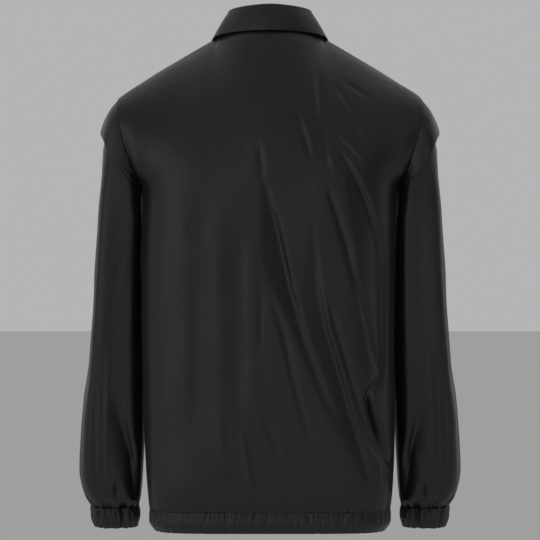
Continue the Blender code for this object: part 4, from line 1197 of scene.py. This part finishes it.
def casing(outside, thickness, shift, closed):
    """A casing's cloth from its inner top edge, down inside, round the fold and up its outside."""
    rows = len(outside)
    normal = outward(outside, closed)
    share = np.linspace(0, 1, rows)[:, None]
    belly = CASING_BELLY * np.sin(math.pi * share)
    outer = outside + normal * (shift + belly)[..., None]
    inner = outer - normal * thickness
    turn_rows = []
    for angle in np.linspace(0, math.pi, CASING_TURN_ROWS)[1:-1]:
        middle = (outer[0] + inner[0]) / 2
        swing = normal[0] * (-math.cos(angle)) * thickness / 2
        turn_rows.append(middle + swing - np.array([0, 0, math.sin(angle) * thickness / 2]))
    return np.concatenate([inner[::-1], np.array(turn_rows), tucked(outer, closed)])


def between(ends, share):
    """The value at a share of the way from the first end to the second."""
    return ends[0] + (ends[1] - ends[0]) * share


def puckers_round(run, share, length, seed):
    """Small slanting puckers that differ from place to place round a casing."""
    rng = np.random.default_rng(seed)
    total = np.zeros(np.broadcast(run, share).shape)
    for _ in range(CASING_WAVES):
        count = rng.integers(*CASING_PUCKERS)
        slant, start = rng.uniform(-CASING_SLANT, CASING_SLANT), rng.uniform(0, 2 * math.pi)
        total += np.sin(2 * math.pi * (count * run / length + slant * share) + start) / CASING_WAVES
    return total


cuff_base = ring_rows(CUFF, np.linspace(len(CUFF) - 1, 0, CUFF_ROWS), CUFF_AROUND)
cuff_run = np.arange(CUFF_AROUND)[None] / CUFF_AROUND * CUFF_LENGTH
cuff_share = np.linspace(0, 1, CUFF_ROWS)[:, None]
cuff_drop = CUFF_HEIGHT * (cuff_share - 1)
cuff_shift = gathered(cuff_run, cuff_drop, cuff_gathers, CUFF_LENGTH) * between(CUFF_GATHERED, cuff_share)
cuff_puckers = puckers_round(cuff_run, cuff_share, CUFF_LENGTH, CUFF_PUCKER_SEED)
cuff_shift = cuff_shift + CUFF_PUCKER * cuff_puckers
cuff = casing(cuff_base, CUFF_THICKNESS, cuff_shift, closed=True)
for name, node, grid in (("left_cuff", "cuff_left", cuff), ("right_cuff", "cuff_right", mirrored(cuff))):
    piece = woven(name, grid, 0, charcoal_taffeta, closed=True)
    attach(piece, "root")
    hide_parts(node)

# Hem casing
# The hem is a strip of taffeta folded over an elastic and sewn round the lower edge of the body, from the
# left front's lap by the back to the right front's lap. It gathers finely at the sides.

HEM_CASING = (
    Section(-0.6930, 0.1780, 0.116, 0.114, 5.10, 5.10, 0.0),
    Section(-0.7110, 0.1775, 0.116, 0.114, 5.10, 5.10, 0.0),
    Section(-0.7240, 0.1720, 0.111, 0.109, 5.10, 5.10, 0.0),
)
HEM_COLUMNS = 1200
HEM_ROWS = 12
HEM_HEIGHT = 0.030
HEM_THICKNESS = 0.0032
HEM_PUCKER_SEED = 22
HEM_PUCKER = 0.0003
HEM_PUCKERS = 4  # times as many as round a cuff
HEM_GATHERED = (0.20, 0.65)  # shares of the gathers' depth that are left at the fold and at the seam


def hem_line(section, shares):
    """The casing's whole way round, from the left front edge by the back to the right front edge."""
    turn = np.linspace(0, math.pi / 2, FINE)
    quarters = []
    for depth, square in ((-section["front"], "front_square"), (section["back"], "back_square")):
        side, deep = rounded(turn, section[square])
        level = np.full(FINE, section["height"])
        quarters.append(np.stack([section["half_width"] * side, depth * deep, level], axis=1))
    front, back_quarter = quarters
    flip = np.array([-1, 1, 1])
    lap = front[-2 : -FINE // 2 : -1]
    lap = lap[lap[:, 0] < LAP]
    ring = [
        (lap * flip)[::-1],
        front[::-1],
        back_quarter[1:],
        (back_quarter * flip)[-2::-1],
        (front * flip)[1:],
        lap,
    ]
    return evenly(np.concatenate(ring), shares)


hem_shares = np.linspace(0, 1, HEM_COLUMNS)
hem_stops = np.linspace(len(HEM_CASING) - 1, 0, HEM_ROWS)
hem_table = rows_at(HEM_CASING, np.arange(len(HEM_CASING)), hem_stops)
hem_levels = [{name: column[i] for name, column in hem_table.items()} for i in range(HEM_ROWS)]
hem_base = np.array([hem_line(hem_level, hem_shares) for hem_level in hem_levels])
hem_run = hem_shares[None] * hem_length
hem_share = np.linspace(0, 1, HEM_ROWS)[:, None]
hem_drop = HEM_HEIGHT * (hem_share - 1)
hem_shift = gathered(hem_run, hem_drop, hem_gathers) * between(HEM_GATHERED, hem_share)
hem_puckers = puckers_round(hem_run, hem_share, hem_length / HEM_PUCKERS, HEM_PUCKER_SEED)
hem_shift = hem_shift + HEM_PUCKER * hem_puckers
near_end = soft_step(hem_run, hem_length - 2 * LAP - LAP_EASE, hem_length - 2 * LAP)
hem = casing(hem_base, HEM_THICKNESS, hem_shift - LAP_DROP * near_end, closed=False)
hem_piece = woven("hem_casing", hem, 0, charcoal_taffeta)
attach(hem_piece, "root")
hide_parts("hem_band")

# Collar
# A turned-down collar of two layers of taffeta: it stands up from the neckline, folds over and falls to a
# free edge that is topstitched all round. It is sewn to the neckline and open at the front.

CollarStation = namedtuple("CollarStation", "fold_x fold_y fold_z edge_x edge_y edge_z")
COLLAR = (
    CollarStation(0.000, 0.052, 0.0455, 0.000, 0.0665, 0.0098),
    CollarStation(0.034, 0.044, 0.0435, 0.047, 0.0555, 0.0085),
    CollarStation(0.059, 0.014, 0.0395, 0.082, 0.0250, 0.0040),
    CollarStation(0.060, -0.020, 0.0290, 0.0880, -0.0220, 0.0005),
    CollarStation(0.051, -0.053, 0.0020, 0.0870, -0.0500, -0.0330),
    CollarStation(0.026, -0.075, -0.0270, 0.0720, -0.0840, -0.0800),
    CollarStation(0.004, -0.084, -0.0430, 0.0470, -0.1085, -0.1180),
)
COLLAR_TIMES = 10
COLLAR_WALL = 0.0012
COLLAR_FOLD_RADIUS = 0.004
COLLAR_RISE = 0.0013  # the stand starts this far above the neckline
COLLAR_BELLY = 0.0015  # the fall bows outwards by this much
COLLAR_END = 0.004  # each front end stands this far from the middle line
STAND_ROWS = 8
TURN_ROWS = 8
FALL_ROWS = 26
COLLAR_STITCH_ROW = 4  # rows in from the free edge

neck_shares = np.linspace(0, 1, NECK_ACROSS * COLLAR_TIMES + 1) * NECK_ACROSS / HALF_ACROSS
back_neck, front_neck = neck_and_shoulder(False, neck_shares), neck_and_shoulder(True, neck_shares)
neck = np.concatenate([back_neck, front_neck[:-1][::-1]]) + np.array([0, 0, COLLAR_RISE])
neck[-1, 0] = COLLAR_END
other_half = [row._replace(fold_x=-row.fold_x, edge_x=-row.edge_x) for row in COLLAR[:0:-1]]
knots = np.linspace(-1, 1, 2 * len(COLLAR) - 1)
stations = rows_at(other_half + list(COLLAR), knots, np.linspace(0, 1, len(neck)))
fold = np.stack([stations["fold_x"], stations["fold_y"], stations["fold_z"]], axis=1)
edge = np.stack([stations["edge_x"], stations["edge_y"], stations["edge_z"]], axis=1)
out = edge - fold
out[:, 2] = 0
out /= np.linalg.norm(out, axis=1, keepdims=True)
inner_fold = fold - out * COLLAR_FOLD_RADIUS
outer_fold = fold + out * COLLAR_FOLD_RADIUS
collar_rows = [neck + (inner_fold - neck) * step / STAND_ROWS for step in range(STAND_ROWS + 1)]
for angle in np.linspace(0, math.pi, TURN_ROWS + 1)[1:-1]:
    lift = np.array([0, 0, COLLAR_FOLD_RADIUS * math.sin(angle)])
    collar_rows.append(fold + lift - out * COLLAR_FOLD_RADIUS * math.cos(angle))
for step in range(FALL_ROWS + 1):
    share = step / FALL_ROWS
    belly = COLLAR_BELLY * 4 * share * (1 - share)
    collar_rows.append(outer_fold + (edge - outer_fold) * share + out * belly)
half_collar = np.array(collar_rows)
collar = np.concatenate([half_collar[:, :0:-1] * np.array([-1, 1, 1]), half_collar], axis=1)
collar_piece = woven("turned_collar", collar, COLLAR_WALL, charcoal_taffeta)
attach(collar_piece, "root")
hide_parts("collar")

# Snaps
# Five press-stud caps moulded in black plastic, each a shallow dome inside a raised rim. They are set through
# the left front down the middle of the lap.

SNAP_HEIGHTS = (-0.105, -0.235, -0.365, -0.495, -0.625)
SNAP_SIDES = 40
SnapStep = namedtuple("SnapStep", "radius rise")
SNAP = (
    SnapStep(0.0074, 0.0000),
    SnapStep(0.0075, 0.0006),
    SnapStep(0.0074, 0.0013),
    SnapStep(0.0069, 0.0018),
    SnapStep(0.0063, 0.0019),
    SnapStep(0.0058, 0.0016),
    SnapStep(0.0054, 0.0015),
    SnapStep(0.0044, 0.0021),
    SnapStep(0.0030, 0.0025),
    SnapStep(0.0014, 0.0027),
    SnapStep(0.0003, 0.00275),
)
SNAP_CLEAR = 0.0005  # a cap stands this far off the cloth
SNAP_COLOUR = (0.010, 0.010, 0.011, 1.0)
SNAP_GRAIN = 1200  # so much a metre
SNAP_SMOOTHEST = 0.25
SNAP_ROUGHEST = 0.42

black_moulding = grained("black_moulding", SNAP_COLOUR, SNAP_GRAIN, SNAP_SMOOTHEST, SNAP_ROUGHEST)
by_height = np.argsort(left_front[:, LAP_COLUMNS, 2])
lap_middle = left_front[by_height, LAP_COLUMNS]
lap_normals = left_normals[by_height, LAP_COLUMNS]
snap_turns = np.arange(SNAP_SIDES) * 2 * math.pi / SNAP_SIDES
for number, height in enumerate(SNAP_HEIGHTS, start=1):
    centre = np.array([np.interp(height, lap_middle[:, 2], lap_middle[:, k]) for k in range(3)])
    normal = np.array([np.interp(height, lap_middle[:, 2], lap_normals[:, k]) for k in range(3)])
    normal /= np.linalg.norm(normal)
    side = np.array([1.0, 0.0, 0.0])
    side -= normal * (side @ normal)
    side /= np.linalg.norm(side)
    up = np.cross(normal, side)
    circle = np.cos(snap_turns)[:, None] * side + np.sin(snap_turns)[:, None] * up
    rings = [centre + normal * (SNAP_CLEAR + step.rise) + circle * step.radius for step in SNAP]
    faces = [tuple(range(SNAP_SIDES))[::-1]]
    for step in range(len(SNAP) - 1):
        for k in range(SNAP_SIDES):
            low, right = step * SNAP_SIDES, (k + 1) % SNAP_SIDES
            faces.append((low + k, low + right, low + SNAP_SIDES + right, low + SNAP_SIDES + k))
    last = (len(SNAP) - 1) * SNAP_SIDES
    faces.append(tuple(range(last, last + SNAP_SIDES)))
    mesh = bpy.data.meshes.new(f"snap_cap_{number}")
    mesh.from_pydata(np.concatenate(rings).tolist(), [], faces)
    mesh.polygons.foreach_set("use_smooth", np.ones(len(faces), bool))
    mesh.materials.append(black_moulding)
    cap = bpy.data.objects.new(f"snap_cap_{number}", mesh)
    bpy.context.scene.collection.objects.link(cap)
    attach(cap, "root")
    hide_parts(f"snap_{number}")

# Topstitching of the seams
# The same charcoal thread, sewn round the armholes on the body's side, along the tops of the hem casing and
# of the cuffs, and inside the collar's free edge.

ARMHOLE_STITCH_COLUMN = 2  # fine columns in from the armhole seam
ARMHOLE_STITCH_ENDS = 2  # fine rows left free at the underarm and at the shoulder seam
CASING_STITCH_ROW = 2  # rows down from a casing's seam

back_normals = outward(back)
right_normals = outward(right_front)
upper = slice(LOWER_ROWS * UP_TIMES + ARMHOLE_STITCH_ENDS, -ARMHOLE_STITCH_ENDS)
armhole_lines = []
for grid, normals, column in (
    (back, back_normals, ARMHOLE_STITCH_COLUMN),
    (back, back_normals, -1 - ARMHOLE_STITCH_COLUMN),
    (left_front, left_normals, -1 - ARMHOLE_STITCH_COLUMN),
    (right_front, right_normals, ARMHOLE_STITCH_COLUMN),
):
    armhole_lines.append((grid[upper, column], normals[upper, column]))
sewn("armhole_stitching", armhole_lines)
hem_normals = outward(hem)
casing_row = -1 - TUCKED_ROWS - CASING_STITCH_ROW
cuff_normals = outward(cuff, closed=True)
cuff_line = np.concatenate([cuff[casing_row], cuff[casing_row, :1]])
cuff_line_normals = np.concatenate([cuff_normals[casing_row], cuff_normals[casing_row, :1]])
flip = np.array([-1, 1, 1])
casing_lines = [
    (hem[casing_row], hem_normals[casing_row]),
    (cuff_line, cuff_line_normals),
    (cuff_line[::-1] * flip, cuff_line_normals[::-1] * flip),
]
sewn("casing_stitching", casing_lines)
collar_row = -1 - COLLAR_STITCH_ROW
sewn("collar_stitching", [(collar[collar_row], outward(collar)[collar_row])])

# Studio
# A plain pale floor well below the garment and pale walls all round, but for a dark screen on each side of
# the camera and a dimmer patch above it, which draw the folds. One large soft light stands left of the camera
# and one hangs above.

FLOOR_DROP = 0.30
FLOOR_SIZE = 40
FLOOR_COLOUR = (0.90, 0.90, 0.89, 1.0)
FLOOR_ROUGHNESS = 0.8
WALL_COLOUR = (1, 1, 1, 1)
DarkSide = namedtuple("DarkSide", "towards fades_from dark_from darkest")
DARK_SIDES = (  # cosines of the angles at which the pale wall starts to fade and is dark
    DarkSide((-0.75, 0.66, 0.05), 0.78, 0.97, 0.05),
    DarkSide((0.99, 0.05, 0.0), 0.93, 0.99, 0.20),
    DarkSide((0.0, 0.50, 0.87), 0.55, 0.97, 0.26),
)
PALEST_WALL = 0.46
CAMERA_DISTANCE = 3.1
CAMERA_HEIGHT = -0.343
FRAME_WIDTH = 0.81  # metres across the picture at the garment's middle
SENSOR = 36
Lamp = namedtuple("Lamp", "name place aim width height watts")
LAMPS = (
    Lamp("key", (2.1, 2.7, 0.1), (0, 0, -0.35), 3.4, 2.8, 10),
    Lamp("top", (0.0, 0.2, 2.4), (0, 0, -0.1), 3.0, 3.0, 1.4),
)

floor_mesh = bpy.data.meshes.new("floor")
half = FLOOR_SIZE / 2
level = cad_low.z - FLOOR_DROP
floor_corners = [(-half, -half, level), (half, -half, level), (half, half, level), (-half, half, level)]
floor_mesh.from_pydata(floor_corners, [], [(0, 1, 2, 3)])
floor_material, _, floor_shader = new_finish("pale_floor")
floor_shader.inputs["Base Color"].default_value = FLOOR_COLOUR
floor_shader.inputs["Roughness"].default_value = FLOOR_ROUGHNESS
floor_mesh.materials.append(floor_material)
floor = bpy.data.objects.new("floor", floor_mesh)
bpy.context.scene.collection.objects.link(floor)
floor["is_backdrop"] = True

world = bpy.data.worlds.new("studio")
world.use_nodes = True
direction = finish_step(world.node_tree, "TexCoord").outputs["Generated"]
background = world.node_tree.nodes["Background"]
wall = PALEST_WALL
for side in DARK_SIDES:
    ways = {0: direction, 1: side.towards}
    facing = finish_step(world.node_tree, "VectorMath", ways, operation="DOT_PRODUCT")
    angles = {"From Min": side.fades_from, "From Max": side.dark_from}
    shades = {"To Min": PALEST_WALL, "To Max": side.darkest}
    screen = {"Value": facing.outputs["Value"], **angles, **shades}
    fading = finish_step(world.node_tree, "MapRange", screen, interpolation_type="SMOOTHSTEP")
    darker = {0: fading.outputs["Result"], 1: wall}
    wall = finish_step(world.node_tree, "Math", darker, operation="MINIMUM").outputs["Value"]
world.node_tree.links.new(wall, background.inputs["Strength"])
background.inputs["Color"].default_value = WALL_COLOUR
bpy.context.scene.world = world

for lamp in LAMPS:
    light = bpy.data.lights.new(lamp.name, "AREA")
    light.shape = "RECTANGLE"
    light.size = lamp.width
    light.size_y = lamp.height
    light.energy = lamp.watts
    holder = bpy.data.objects.new(lamp.name, light)
    bpy.context.scene.collection.objects.link(holder)
    holder.location = lamp.place
    holder.visible_camera = False
    towards = np.array(lamp.aim) - np.array(lamp.place)
    holder.rotation_euler = Vector(towards).to_track_quat("-Z", "Y").to_euler()

camera = bpy.data.cameras.new("camera")
camera.sensor_width = SENSOR
camera.lens = SENSOR * CAMERA_DISTANCE / FRAME_WIDTH
viewer = bpy.data.objects.new("camera", camera)
bpy.context.scene.collection.objects.link(viewer)
viewer.location = (0, CAMERA_DISTANCE, CAMERA_HEIGHT)
viewer.rotation_euler = (math.pi / 2, 0, math.pi)
bpy.context.scene.camera = viewer
bpy.context.scene.view_settings.view_transform = "Standard"

low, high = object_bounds()
